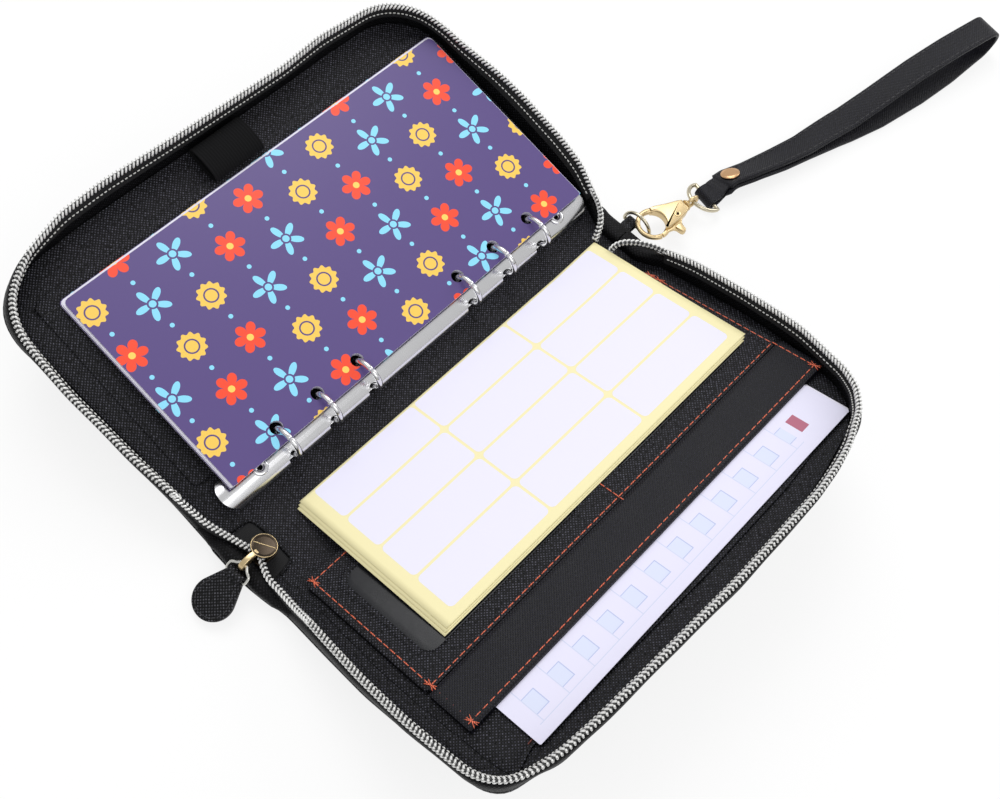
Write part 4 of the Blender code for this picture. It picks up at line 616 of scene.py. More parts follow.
def stitches(name, starts, ends, above, thickness, material, sides=6, sink=0.35):
    """Thread stitches as short capsules: each runs from its start to its end, thickest in the middle, and
    dips at both ends. Profile rows are shares of the length with shares of the thickness."""
    starts, ends, above = (np.asarray(a, float) for a in (starts, ends, above))
    rows = np.array([(0.0, 0.25), (0.12, 0.8), (0.5, 1.0), (0.88, 0.8), (1.0, 0.25)])
    run = ends - starts
    ahead = run / np.linalg.norm(run, axis=1, keepdims=True)
    above = np.broadcast_to(above, run.shape)
    side_way = np.cross(ahead, above)
    side_way /= np.linalg.norm(side_way, axis=1, keepdims=True)
    up_way = np.cross(side_way, ahead)
    angle = np.linspace(0, 2 * math.pi, sides, endpoint=False)
    ring = np.stack([np.cos(angle), np.sin(angle)], axis=-1)
    centre = starts[:, None] + run[:, None] * rows[None, :, :1]
    dip = -thickness * sink * (1 - 4 * rows[:, 0] * (1 - rows[:, 0]))
    centre = centre + up_way[:, None] * dip[None, :, None]
    offset = (
        side_way[:, None, None] * ring[None, None, :, :1] + up_way[:, None, None] * ring[None, None, :, 1:]
    ) * (thickness * rows[None, :, 1])[..., None, None]
    points = centre[:, :, None] + offset
    number, steps, _, _ = points.shape
    index = np.arange(number * steps * sides).reshape(number, steps, sides)
    beside = np.roll(index, -1, axis=2)
    quads = np.stack([index[:, :-1], index[:, 1:], beside[:, 1:], beside[:, :-1]], axis=-1)
    quads = quads.reshape(-1, 4).tolist()
    first = index[:, 0].tolist()
    last = index[:, -1, ::-1].tolist()
    mesh = bpy.data.meshes.new(name)
    mesh.from_pydata(points.reshape(-1, 3).tolist(), [], quads + first + last)
    mesh.materials.append(material)
    mesh.shade_smooth()
    piece = bpy.data.objects.new(name, mesh)
    bpy.context.scene.collection.objects.link(piece)
    return piece


for side in (-1, 1):
    run = rim_run(361, ZIP_START)
    tape_grid = rim(side, run, TAPE_PROFILE[None, :, 0], TAPE_PROFILE[None, :, 1])
    tape = surface(f"{SIDE_NAMES[side]}_tape", tape_grid, tape_cloth, wrap=True, caps=True)
    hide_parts(f"{SIDE_NAMES[side]}_zip_tape")
    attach(tape, COVER_BODIES[side])
    flat_run = rim_run(1200, ZIP_START)
    centre = rim(side, flat_run, COIL_INSET, COIL_HEIGHT)[:, 0]
    inward = rim(side, flat_run, COIL_INSET + COIL_ACROSS, COIL_HEIGHT)[:, 0] - centre
    above = rim(side, flat_run, COIL_INSET, COIL_HEIGHT + COIL_UP)[:, 0] - centre
    spiral = coil(f"{SIDE_NAMES[side]}_coil", centre, inward, above)
    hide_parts(f"{SIDE_NAMES[side]}_zip_teeth")
    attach(spiral, COVER_BODIES[side])
    core = surface(
        f"{SIDE_NAMES[side]}_coil_cord", sweep(centre[::3], circle(0.55 * MM, 8), above[::3]), coil_core,
        wrap=True, caps=True,
    )
    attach(core, COVER_BODIES[side])
    begin = np.arange(ZIP_START + 0.3 * MM, RIM_LENGTH - SEAM_PITCH, SEAM_PITCH)[:, None]
    low = rim(side, begin, SEAM_INSET, SEAM_HEIGHT)[:, 0]
    high = rim(side, begin + SEAM_STITCH, SEAM_INSET, SEAM_HEIGHT)[:, 0]
    face = rim(side, begin, SEAM_INSET + MM, SEAM_HEIGHT + 0.35 * MM)[:, 0] - low
    seam = stitches(f"{SIDE_NAMES[side]}_coil_seam", low, high, face, SEAM_THREAD, white_thread)
    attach(seam, COVER_BODIES[side])

# Zip ends. At the slider's end both chains run over the spine into the slider; at the other end each
# one dives inwards and down to the spine's lining, with its tape hanging below it.
# The knots were read on the photo and placed by a measuring script, then rounded.
ZIP_END_PATHS = {
    (-1, -1): [
        (-24.8, -98.0, 13.6), (-20.0, -97.1, 10.8), (-12.9, -95.2, 9.7), (-5.7, -93.3, 10.0),
        (-1.2, -91.6, 9.9),
    ],
    (1, -1): [
        (25.6, -96.4, 15.2), (20.3, -95.9, 12.8), (14.7, -95.4, 10.9), (8.0, -94.9, 10.0), (1.2, -91.9, 9.9),
    ],
    (-1, 1): [
        (-14.8, 96.8, 13.3), (-11.2, 94.3, 12.6), (-8.6, 91.4, 11.2), (-7.2, 88.6, 8.4), (-6.7, 86.9, 5.3),
    ],
    (1, 1): [
        (13.4, 97.1, 13.7), (8.8, 94.5, 13.4), (4.4, 91.5, 12.0), (2.0, 89.1, 9.6), (1.0, 87.5, 5.4),
    ],
}


def smooth_path(points, count):
    """A curve through points: a Catmull-Rom cubic between each pair, at count even steps in all."""
    points = np.asarray(points, float)
    padded = np.concatenate([2 * points[:1] - points[1:2], points, 2 * points[-1:] - points[-2:-1]])
    place = np.linspace(0, len(points) - 1, count)
    low = np.minimum(place.astype(int), len(points) - 2)
    t = (place - low)[:, None]
    p0, p1, p2, p3 = (padded[low + k] for k in range(4))
    return 0.5 * (
        2 * p1 + (p2 - p0) * t + (2 * p0 - 5 * p1 + 4 * p2 - p3) * t**2 + (3 * p1 - p0 - 3 * p2 + p3) * t**3
    )


for (side, end), knots in ZIP_END_PATHS.items():
    rim_place = ZIP_START if end < 0 else RIM_LENGTH
    inner_place = rim_place - end * 2 * MM
    begin = rim(side, np.array([[inner_place]]), COIL_INSET, COIL_HEIGHT)[:, 0]
    corner = rim(side, np.array([[rim_place]]), COIL_INSET, COIL_HEIGHT)[:, 0]
    centre = smooth_path(np.concatenate([begin, corner, np.array(knots) * MM]), 140)
    ahead = np.gradient(centre, axis=0)
    ahead /= np.linalg.norm(ahead, axis=1, keepdims=True)
    inward = np.cross(ahead, (0, 0, 1.0)) * side * end
    inward /= np.linalg.norm(inward, axis=1, keepdims=True)
    above = np.cross(inward, ahead) * side * end
    above *= np.sign(above[:, 2:])
    label = f"{SIDE_NAMES[side]}_{END_NAMES[end]}"
    spiral = coil(f"{label}_coil_end", centre, inward * COIL_ACROSS, above * COIL_UP)
    core = surface(
        f"{label}_coil_end_cord", sweep(centre[::4], circle(0.55 * MM, 8), above[::4]), coil_core,
        wrap=True, caps=True
    )
    hang = (4.6 if end < 0 else 3.4) * MM
    low_edge = np.where(centre[:, 2] > 8.6 * MM, centre[:, 2] - hang, 3.6 * MM)
    low_edge = np.minimum(low_edge, centre[:, 2] - 0.6 * MM)
    foot = centre + inward * 0.9 * MM
    foot[:, 2] = low_edge
    tape_grid = np.stack([
        centre - inward * 0.2 * MM, centre + inward * 0.4 * MM, foot + inward * 0.25 * MM,
        foot - inward * 0.25 * MM,
    ], axis=1)
    tape = surface(f"{label}_tape_end", tape_grid, tape_cloth, wrap=True, caps=True)
    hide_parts(f"{END_NAMES[end]}_zip_tail")
    pieces = [(spiral, "zip_teeth"), (core, "zip_teeth"), (tape, "zip_tape")]
    if end > 0:
        seam_line = centre + inward * 1.35 * MM
        seam_line[:, 2] = centre[:, 2] - 2.3 * MM
        run = np.concatenate([[0], np.linalg.norm(np.diff(seam_line, axis=0), axis=1).cumsum()])
        begin = np.arange(0.4 * MM, run[-1] - 2 * MM, SEAM_PITCH)
        low, high, face = (
            np.stack([np.interp(at, run, a[:, k]) for k in range(3)], axis=-1)
            for at, a in ((begin, seam_line), (begin + SEAM_STITCH, seam_line), (begin, inward))
        )
        seam = stitches(f"{label}_seam_end", low, high, face, SEAM_THREAD, white_thread)
        pieces.append((seam, "zip_teeth"))
    for piece, slot_name in pieces:
        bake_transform(piece)


# Slider. A zinc casting, plated dark bronze: a round top plate with a rim and a base plate, joined by
# a post inside the chain, and a paler lug in front, on which the pull's wire link swings.
DISC_CENTRE = np.array((0, -89.5, 0)) * MM
LUG_PLACE = np.array((0, -97.8, 10.95)) * MM


def metal(name, colour, roughness, streak=0.08, scale=260.0):
    """Plated metal: one colour, with polishing marks that vary its roughness and a very low ripple."""
    material, tree, shader = finish_with(name, metallic=1.0, roughness=roughness)
    shader.inputs["Base Color"].default_value = linear(colour)
    place = add(tree, "TexCoord").outputs["Object"]
    marks = add(tree, "TexNoise", {"Vector": place, "Scale": scale, "Detail": 4.0})
    polish = add(
        tree, "MapRange",
        {"Value": marks.outputs["Fac"], "To Min": roughness - streak, "To Max": roughness + streak}
    )
    tree.links.new(polish.outputs[0], shader.inputs["Roughness"])
    ripple = add(tree, "Bump", {"Height": marks.outputs["Fac"], "Strength": 0.12, "Distance": 0.05 * MM})
    tree.links.new(ripple.outputs[0], shader.inputs["Normal"])
    return material


dark_bronze = metal("dark bronze plating", "#3E362E", 0.28, 0.08)
pale_gold = metal("pale gold plating", "#D6BF93", 0.34, 0.08)
bright_wire = metal("nickel wire", "#D9D8D2", 0.18, 0.06)


def turned(profile, base, axis=(0, 0, 1), sides=40):
    """A turned shape: (radius, height) rows from end to end, spun round an axis through base."""
    axis = np.asarray(axis, float)
    axis = axis / np.linalg.norm(axis)
    start = np.array((1.0, 0, 0)) if abs(axis[0]) < 0.8 else np.array((0, 0, 1.0))
    first = np.cross(axis, start)
    first /= np.linalg.norm(first)
    second = np.cross(axis, first)
    angle = np.linspace(0, 2 * math.pi, sides, endpoint=False)[None, :, None]
    radius, height = (np.asarray(profile, float)[:, k][:, None, None] for k in (0, 1))
    return np.asarray(base) + (first * np.cos(angle) + second * np.sin(angle)) * radius + axis * height


def plate(outline, half, edge, place, steps=4):
    """A plate with rounded edges. Rows go up its rim: each is the outline moved in along its own normals by
    the cosine of a quarter turn. place puts plan measures and a height in the row frame."""
    outline = np.asarray(outline, float)
    ahead = np.roll(outline, -1, axis=0) - np.roll(outline, 1, axis=0)
    ahead /= np.linalg.norm(ahead, axis=1, keepdims=True)
    area = (outline[:, 0] * np.roll(outline[:, 1], -1) - np.roll(outline[:, 0], -1) * outline[:, 1]).sum()
    outwards = np.stack([ahead[:, 1], -ahead[:, 0]], axis=-1) * np.sign(area)
    turn = np.linspace(0, math.pi / 2, steps + 1)
    inset = edge * (1 - np.sin(turn))
    rise = half - edge + edge * np.cos(turn)
    inset = np.concatenate([inset, inset[::-1]])
    level = np.concatenate([-rise, rise[::-1]])
    rows = outline[None] - outwards[None] * inset[:, None, None]
    return place(rows[..., 0], rows[..., 1], np.broadcast_to(level[:, None], rows.shape[:2]))


SLIDER_TILT = math.radians(15)


def tilted(points):
    """Tips the slider's own points about the axis of its lug's hole, which brings its far end down."""
    away = points - LUG_PLACE
    y = away[..., 1] * math.cos(SLIDER_TILT) + away[..., 2] * math.sin(SLIDER_TILT)
    z = away[..., 2] * math.cos(SLIDER_TILT) - away[..., 1] * math.sin(SLIDER_TILT)
    return LUG_PLACE + np.stack([away[..., 0], y, z], axis=-1)


DISC_PROFILE = np.array([
    (0.2, 14.28), (3.3, 14.3), (3.7, 14.36), (4.0, 14.52), (4.3, 14.55), (4.6, 14.35), (4.65, 14.0),
    (4.5, 13.6), (4.1, 13.38), (0.2, 13.35),
]) * MM
disc = surface(
    "slider_plate", tilted(turned(DISC_PROFILE, DISC_CENTRE, sides=56)), dark_bronze, wrap=True, caps=True
)
ridge = surface(
    "slider_ridge",
    tilted(sweep(np.linspace((-3.6, -91.2, 14.3), (3.2, -87.2, 14.3), 9) * MM, circle(0.17 * MM), (0, 0, 1))),
    pale_gold, wrap=True, caps=True,
)
angle = np.linspace(0, 2 * math.pi, 56, endpoint=False)
edge_path = DISC_CENTRE + np.stack(
    [4.42 * np.cos(angle), 4.42 * np.sin(angle), 0 * angle + 14.42], axis=-1
) * MM
bright_edge = surface(
    "slider_rim", tilted(sweep(edge_path, circle(0.13 * MM, 8), (0, 0, 1), closed=True)), pale_gold,
    wrap=True, closed=True
)
angle = np.linspace(0, 2 * math.pi, 48, endpoint=False)
base_outline = np.stack([
    3.75 * MM * np.sign(np.cos(angle)) * np.abs(np.cos(angle)) ** 0.45,
    -89.5 * MM + 4.5 * MM * np.sign(np.sin(angle)) * np.abs(np.sin(angle)) ** 0.45,
], axis=-1)
base_plate = surface(
    "slider_base",
    tilted(plate(base_outline, 0.45 * MM, 0.3 * MM, lambda x, y, h: np.stack([x, y, h + 9.3 * MM], axis=-1))),
    dark_bronze, wrap=True, caps=True,
)
post = surface(
    "slider_post",
    tilted(turned(
        np.array([(1.25, 9.4), (1.1, 10.2), (1.1, 13.0), (1.3, 13.6)]) * MM, np.array((0, -88.45, 0)) * MM
    )),
    dark_bronze, wrap=True, caps=True,
)
lug_outline = np.array([
    (-91.9, 14.2), (-91.9, 13.4), (-92.8, 13.3), (-94.6, 12.9), (-95.2, 12.2), (-95.5, 11.2),
    (-95.7, 10.6), (-96.1, 9.7), (-96.9, 9.05), (-97.9, 8.9), (-98.9, 9.15), (-99.6, 9.9), (-99.85, 10.9),
    (-99.6, 12.0), (-98.8, 13.1), (-97.4, 14.0), (-95.6, 14.45), (-93.6, 14.5),
]) * MM
lug = surface(
    "slider_lug",
    tilted(plate(lug_outline[::-1], 1.0 * MM, 0.35 * MM, lambda y, z, x: np.stack([x, y, z], axis=-1))),
    pale_gold, wrap=True, caps=True,
)
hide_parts("zip_slider")
for piece in (disc, ridge, bright_edge, base_plate, post, lug):
    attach(piece, "spine")

# Slider's bed. A black cloth patch lies under the slider, and the lining's folded lip bounds it.
bed_rows = np.linspace(-12.6, 8.4, 24)[:, None] * MM
bed_columns = np.linspace(-93.4, -84.6, 12)[None, :] * MM
bed_rows, bed_columns = np.broadcast_arrays(bed_rows, bed_columns)
bed = surface("slider_bed", np.stack([bed_rows, bed_columns, 0 * bed_rows + 3.5 * MM], axis=-1), tape_cloth)
thicken(bed, 0.12 * MM, 1.0)
lip_path = smooth_path(np.array([
    (-14.2, -92.6, 3.7), (-13.6, -88.0, 3.7), (-12.4, -85.0, 3.7), (-7.4, -83.9, 3.7), (4.7, -83.8, 3.7),
    (7.6, -85.0, 3.7), (9.0, -90.4, 3.7),
]) * MM, 60)
bed_lip = surface(
    "slider_bed_lip", sweep(lip_path, circle(0.55 * MM), (0, 0, 1)), shell_leather, wrap=True, caps=True
)
for piece, slot_name in ((bed, "zip_tape"), (bed_lip, "lining")):
    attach(piece, "spine")

# Pull link. Nickel wire, bent to a narrow loop in the lug and a wide foot in the leather pull.
LINK_ANGLE = math.radians(32)
LINK_WIRE = 0.6 * MM
link_down = np.array((0, -math.cos(LINK_ANGLE), -math.sin(LINK_ANGLE)))
half_link = np.array([
    (0, 0), (1.3, 0.02), (1.75, 0.35), (2.6, 1.2), (4.0, 2.0), (4.3, 2.5), (4.3, 4.3),
    (3.7, 5.0),
    (0, 5.0),
]) * MM
link_path = np.concatenate([half_link, half_link[-2:0:-1] * (-1, 1)])
link_path = smooth_path(np.concatenate([link_path, link_path[:1]]), 97)[:-1]
link_points = LUG_PLACE + link_path[:, :1] * np.array((1.0, 0, 0)) + link_path[:, 1:] * link_down
link = surface(
    "pull_link_wire",
    sweep(link_points, circle(LINK_WIRE, 12), np.cross((1.0, 0, 0), link_down), closed=True), bright_wire,
    wrap=True,
    closed=True,
)
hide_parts("pull_link")
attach(link, "slider_link")

# Leather pull. A teardrop of the shell's leather, folded double over the link's foot, glued and sewn
# round its edge with black thread.
PULL_SLOPE = math.radians(21.9)
PULL_TOP = np.array((0, -102.04, 8.3)) * MM
PULL_LENGTH = 18.0 * MM
PULL_HALF_WIDTH = 7.6 * MM
PULL_NECK = 4.0 * MM
PULL_HALF_THICKNESS = 1.2 * MM
pull_ahead = np.array((0, -math.cos(PULL_SLOPE), -math.sin(PULL_SLOPE)))
pull_above = np.array((0, -math.sin(PULL_SLOPE), math.cos(PULL_SLOPE)))

black_thread, tree, shader = finish_with("black waxed thread", roughness=0.5)
place = add(tree, "TexCoord").outputs["Object"]
twist = add(tree, "TexWave", {"Vector": place, "Scale": 0.314 / (0.5 * MM)}, bands_direction="DIAGONAL")
shader.inputs["Base Color"].default_value = linear("#2C2B2E")
thread_bump = add(tree, "Bump", {"Height": twist.outputs["Fac"], "Strength": 0.5, "Distance": 0.06 * MM})
tree.links.new(thread_bump.outputs[0], shader.inputs["Normal"])


def on_pull(x, down, height):
    """The pull's own measures in the row frame: x across, down along it and height over its middle plane."""
    x, down, height = np.broadcast_arrays(x, down, height)
    return PULL_TOP + x[..., None] * np.array(
        (1.0, 0, 0)
    ) + down[..., None] * pull_ahead + height[..., None] * pull_above


def pull_outline(inset, count=72):
    """Half the teardrop, neck to tip: a round end, and straight flanks that run in to the neck."""
    centre = PULL_LENGTH - PULL_HALF_WIDTH
    turn = np.linspace(-0.4, math.pi / 2, count // 2)
    radius = PULL_HALF_WIDTH - inset
    end = np.stack([radius * np.cos(turn), centre + radius * np.sin(turn)], axis=-1)
    neck_share = np.linspace(0, 1, 12)[:-1]
    wide = end[0, 0]
    flank = np.stack([
        PULL_NECK - inset + (wide - PULL_NECK + inset) * neck_share,
        0.3 * MM + inset + (end[0, 1] - 0.3 * MM - inset) * neck_share,
    ], axis=-1)
    half = np.concatenate([flank, end])
    return np.concatenate([half, half[-2::-1] * (-1, 1)])


pull_grid = plate(pull_outline(0), PULL_HALF_THICKNESS, 0.55 * MM, on_pull)
pull_uv = np.stack([pull_grid[..., 0], (pull_grid - PULL_TOP) @ pull_ahead], axis=-1)
pull = surface("leather_pull_body", pull_grid, shell_leather, pull_uv, wrap=True, caps=True)
roll = surface(
    "leather_pull_fold",
    turned(np.array([
        (0.95, -3.4), (1.9, -3.4), (2.1, -3.15), (2.1, 3.15), (1.9, 3.4), (0.95, 3.4), (0.95, -3.4),
    ]) * MM,
           PULL_TOP, (1, 0, 0), 36),
    shell_leather, wrap=True, closed=True,
)
line = pull_outline(1.35 * MM)[3:-3]
run = np.concatenate([[0], np.linalg.norm(np.diff(line, axis=0), axis=1).cumsum()])
begin = np.arange(0, run[-1] - 2.2 * MM, 2.3 * MM)
begin_line, end_line = (
    on_pull(np.interp(at, run, line[:, 0]), np.interp(at, run, line[:, 1]), PULL_HALF_THICKNESS + 0.02 * MM)
    for at in (begin, begin + 1.7 * MM)
)
pull_seam = stitches("leather_pull_stitches", begin_line, end_line, pull_above, 0.2 * MM, black_thread)
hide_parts("leather_pull")
for piece in (pull, roll, pull_seam):
    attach(piece, "slider_pull")


# Slip pocket. A panel of the lining's leather, sewn on the left cover; its free edge by the pen loop is
# folded over and sewn down, so it stands a little higher.
SLIP_START = 20.0 * MM
SLIP_MOUTH = 103.0 * MM
SLIP_HALF = 91.2 * MM
SLIP_LOW = 3.55 * MM
SLIP_TOP = 4.15 * MM


def panel_grid(start, end, low, high, corner, rows, columns, steps=7):
    """u and y of a plan rectangle with round corners: the half length falls on a quarter circle at both ends,
    and columns share it out evenly."""
    turn = np.sin(np.linspace(0, math.pi / 2, steps))
    first = start + corner - corner * turn[::-1]
    last = end - corner + corner * turn
    u = np.concatenate([first, np.linspace(start + corner, end - corner, rows)[1:-1], last])[:, None]
    off = np.maximum(np.maximum(start + corner - u, u - (end - corner)), 0) / corner
    half = (high - low) / 2 - corner + corner * np.sqrt(np.clip(1 - off**2, 0, 1))
    share = np.linspace(-1, 1, columns)[None, :]
    y = (low + high) / 2 + half * share
    return np.broadcast_to(u, y.shape), y


def raised_panel(name, side, plan, height, low, material, rim_rounding=0.3 * MM):
    """A panel that lies on a cover: its top is height over the plan, its rim is rounded, and a skirt
    goes down to low, where an under face closes it."""
    u, y = plan
    floor = on_cover(side, u, y, np.minimum(low, height))
    top = height.copy()
    top[[0, -1]] -= rim_rounding
    top[:, [0, -1]] -= rim_rounding
    points = on_cover(side, u, y, top)
    skirt = np.pad(points, ((1, 1), (1, 1), (0, 0)), mode="edge")
    under = np.pad(floor, ((1, 1), (1, 1), (0, 0)), mode="edge")
    border = np.zeros(skirt.shape[:2], bool)
    border[[0, -1]] = True
    border[:, [0, -1]] = True
    skirt[border] = under[border]
    uv = np.stack([np.pad(u, 1, mode="edge"), np.pad(y, 1, mode="edge")], axis=-1)
    if side < 0:
        skirt, uv, floor = skirt[:, ::-1], uv[:, ::-1], floor[:, ::-1]
    return surface(name, [skirt, floor[:, ::-1]], material, [uv, uv[1:-1, 1:-1][:, ::-1]])


plan = panel_grid(SLIP_START, SLIP_MOUTH, -SLIP_HALF, SLIP_HALF, 2 * MM, 60, 60)
u, y = plan
roll_over = np.exp(-(((u - 100.4 * MM) / (1.9 * MM)) ** 2))
wave = 0.16 * MM * np.sin(y * 60 + 1) * np.sin(u * 70)
slip_height = SLIP_TOP + 0.95 * MM * roll_over + wave * (1 - roll_over) + 0.1 * MM
slip = raised_panel("slip_pocket_panel", -1, plan, slip_height, SLIP_LOW, lining_leather)
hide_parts("slip_pocket")
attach(slip, "left_cover")


def seam_on(side, name, line, height, pitch, stitch, thread, material):
    """A row of stitches on a cover along a line of (u, y) corners: each stitch fills part of the pitch."""
    line = np.asarray(line, float)
    run = np.concatenate([[0], np.linalg.norm(np.diff(line, axis=0), axis=1).cumsum()])
    count = max(int(round(run[-1] / pitch)), 1)
    begin = np.arange(count) * run[-1] / count
    ends = [
        on_cover(side, np.interp(at, run, line[:, 0]), np.interp(at, run, line[:, 1]), height)
        for at in (begin, begin + run[-1] / count * stitch)
    ]
    angle = FOLD_ANGLES[side]
    return stitches(name, ends[0], ends[1], (-side * math.sin(angle), 0, math.cos(angle)), thread, material)


slip_seam = seam_on(
    -1, "slip_pocket_stitches", [(SLIP_MOUTH - 5.6 * MM, -90 * MM), (SLIP_MOUTH - 5.6 * MM, 90 * MM)],
    SLIP_TOP + 0.25 * MM, 2.9 * MM, 0.72, 0.2 * MM, black_thread,
)
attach(slip_seam, "left_cover")

# Pen loop. Woven black elastic, sewn down as a low tube beside the pocket's mouth.
PEN_LOOP_U = 107.2 * MM
PEN_LOOP_H = 7.0 * MM
PEN_LOOP_WIDE = 7.6 * MM
PEN_LOOP_HIGH = 3.3 * MM
PEN_LOOP_ENDS = (-13.0 * MM, 9.5 * MM)
ELASTIC = 0.85 * MM
elastic, tree, shader = finish_with("woven black elastic", roughness=0.9, specular_ior_level=0.2)
place = add(tree, "UVMap", uv_map="metres").outputs[0]
cords = add(
    tree, "TexWave", {"Vector": place, "Scale": 0.314 / (1.1 * MM), "Distortion": 0.3}, bands_direction="X"
)
tone = add(tree, "MapRange", {"Value": cords.outputs["Fac"], "To Min": 0.6, "To Max": 1.3})
dyed = add(tree, "VectorMath", {0: linear("#08080A")[:3], "Scale": tone.outputs[0]}, operation="SCALE")
tree.links.new(dyed.outputs[0], shader.inputs["Base Color"])
rib = add(tree, "Bump", {"Height": cords.outputs["Fac"], "Strength": 0.8, "Distance": 0.12 * MM})
tree.links.new(rib.outputs[0], shader.inputs["Normal"])
around = np.linspace(0, 2 * math.pi, 64, endpoint=False)[None, :]
length_rows = np.linspace(*PEN_LOOP_ENDS, 60)
rows = np.concatenate([length_rows, length_rows[::-1], length_rows[:1]])[:, None]
cloth = np.concatenate([np.zeros(60), np.full(60, ELASTIC), [0]])[:, None]
ripple = 0.05 * MM * np.sin(rows / (1.1 * MM) * 2 * math.pi)
flat_u = PEN_LOOP_U + (PEN_LOOP_WIDE + ripple - cloth) * np.cos(around)
flat_h = PEN_LOOP_H + (PEN_LOOP_HIGH + ripple - cloth) * np.sin(around)
loop = surface(
    "pen_loop_band", on_cover(-1, flat_u, rows + 0 * around, flat_h), elastic, wrap=True, closed=True
)
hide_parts("pen_loop")
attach(loop, "left_cover")


# Ring mechanism. Chromed steel: a sprung arch, riveted to the left board through two eyelets, holds two
# leaves edge to edge, and each leaf carries six half rings that meet over the pages.
BINDER_U = 10.8 * MM
BINDER_SHIFT = 5.0 * MM
RING_PLACES = [BINDER_SHIFT + end * (25.5 + 19.0 * k) * MM for end in (-1, 1) for k in range(3)]
RING_BASE = 3.55 * MM
RING_RADIUS = 6.0 * MM
RING_WIRE = 1.05 * MM
RING_CENTRE_H = RING_BASE + 8.0 * MM
RING_FOOT_ANGLE = math.radians(-35)
RING_FOOT_PLACE = 3.7 * MM
LEAF_LOW = RING_BASE + 1.2 * MM
LEAF_TOP = LEAF_LOW + 0.8 * MM
LEAF_HALF_LENGTH = 68.5 * MM
LEAF_HALF_WIDTH = 4.5 * MM
chrome = metal("chrome plate", "#E6E6E8", 0.2, 0.05, 180.0)


def rebuilt(name, node_name, move, material, way=(0, 1.0, 0), depth=0.0):
    """A CAD node's mesh made anew in the row frame: doubled vertices are merged, faces are cut across at
    a depth from the mesh's first point along a way, and a function then moves its places."""
    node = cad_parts[node_name]
    flat = np.empty(3 * len(node.data.vertices), np.float32)
    node.data.vertices.foreach_get("co", flat)
    corners = np.empty(len(node.data.loops), np.int32)
    node.data.loops.foreach_get("vertex_index", corners)
    turn = np.array(node.matrix_world)
    places = flat.reshape(-1, 3) @ turn[:3, :3].T + turn[:3, 3]
    mesh = bpy.data.meshes.new(name)
    mesh.from_pydata(places.tolist(), [], corners.reshape(-1, 3).tolist())
    shape = bmesh.new()
    shape.from_mesh(mesh)
    bmesh.ops.remove_doubles(shape, verts=shape.verts, dist=0.01 * MM)
    if depth:
        way = np.array(way)
        every = shape.verts[:] + shape.edges[:] + shape.faces[:]
        bmesh.ops.bisect_plane(shape, geom=every, plane_co=way * ((places @ way).min() + depth), plane_no=way)
    shape.to_mesh(mesh)
    shape.free()
    flat = np.empty(3 * len(mesh.vertices), np.float32)
    mesh.vertices.foreach_get("co", flat)
    mesh.vertices.foreach_set("co", move(flat.reshape(-1, 3)).astype(np.float32).ravel())
    mesh.update()
    mesh.materials.append(material)
    mesh.shade_smooth()
    mesh.set_sharp_from_angle(angle=math.radians(32))
    piece = bpy.data.objects.new(name, mesh)
    bpy.context.scene.collection.objects.link(piece)
    return piece


def lengthened(places):
    """Moves the arch's rounded ends out: the lower one by 6 mm and the upper one by 3 mm."""
    out = np.where(places[:, 1] < -75.5 * MM, -6 * MM, 0) + np.where(places[:, 1] > 85.5 * MM, 3 * MM, 0)
    return places + out[:, None] * np.array((0, 1.0, 0))


arch_piece = rebuilt("ring_arch", "ring_housing", lengthened, chrome)
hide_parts("ring_housing")
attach(arch_piece, "left_cover")

for leaf_side, leaf_name in ((-1, "inner"), (1, "outer")):
    grids = []
    tip = math.pi / 2 - 0.14 * MM / RING_RADIUS
    turn = np.linspace(RING_FOOT_ANGLE, tip, 26)
    foot = np.linspace(0, 1, 6)[:-1]
    bow_u = RING_RADIUS * np.cos(turn)
    bow_h = RING_CENTRE_H + RING_RADIUS * np.sin(turn)
    ring_u = np.concatenate([RING_FOOT_PLACE + (bow_u[0] - RING_FOOT_PLACE) * foot, bow_u])
    ring_h = np.concatenate([LEAF_LOW + 0.4 * MM + (bow_h[0] - LEAF_LOW - 0.4 * MM) * foot, bow_h])
    wire_radius = np.full(len(ring_u), RING_WIRE)
    wire_radius[-1] *= 0.86
    for y in RING_PLACES:
        path = on_cover(-1, BINDER_U + leaf_side * ring_u, y, ring_h)
        grids.append(sweep(path, circle(wire_radius, 18), (0, 1.0, 0)))
    leaf_u = np.array([0.15 * MM, LEAF_HALF_WIDTH])
    corners_u = BINDER_U + leaf_side * leaf_u[[0, 1, 1, 0]][None, :]
    corners_h = np.array([LEAF_LOW, LEAF_LOW, LEAF_TOP, LEAF_TOP])[None, :]
    leaf_y = BINDER_SHIFT + np.linspace(-LEAF_HALF_LENGTH, LEAF_HALF_LENGTH, 12)[:, None]
    grids.append(on_cover(-1, corners_u, leaf_y, corners_h))
    leaf = surface(f"{leaf_name}_leaf_rings", grids, chrome, wrap=True, caps=True)
    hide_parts(f"ring_leaf_{leaf_name}")
    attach(leaf, f"{leaf_name}_leaf")

RIVET_PROFILE = np.array([
    (0.9, 3.2), (1.4, 3.2), (1.4, 8.3), (2.95, 8.32), (3.05, 8.5), (2.9, 8.72), (2.3, 8.88), (1.6, 8.8),
    (1.15, 8.5), (0.9, 7.9), (0.9, 3.2),
]) * MM
for number, end in enumerate((-1, 1), start=1):
    base = on_cover(-1, BINDER_U, BINDER_SHIFT + end * 76 * MM, 0.0)
    axis = (math.sin(FOLD_ANGLES[-1]), 0, math.cos(FOLD_ANGLES[-1]))
    eyelet = surface(
        f"binder_eyelet_{number}", turned(RIVET_PROFILE, base, axis, 36), chrome, wrap=True, closed=True
    )
    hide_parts(f"binder_rivet_{number}")
    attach(eyelet, "left_cover")


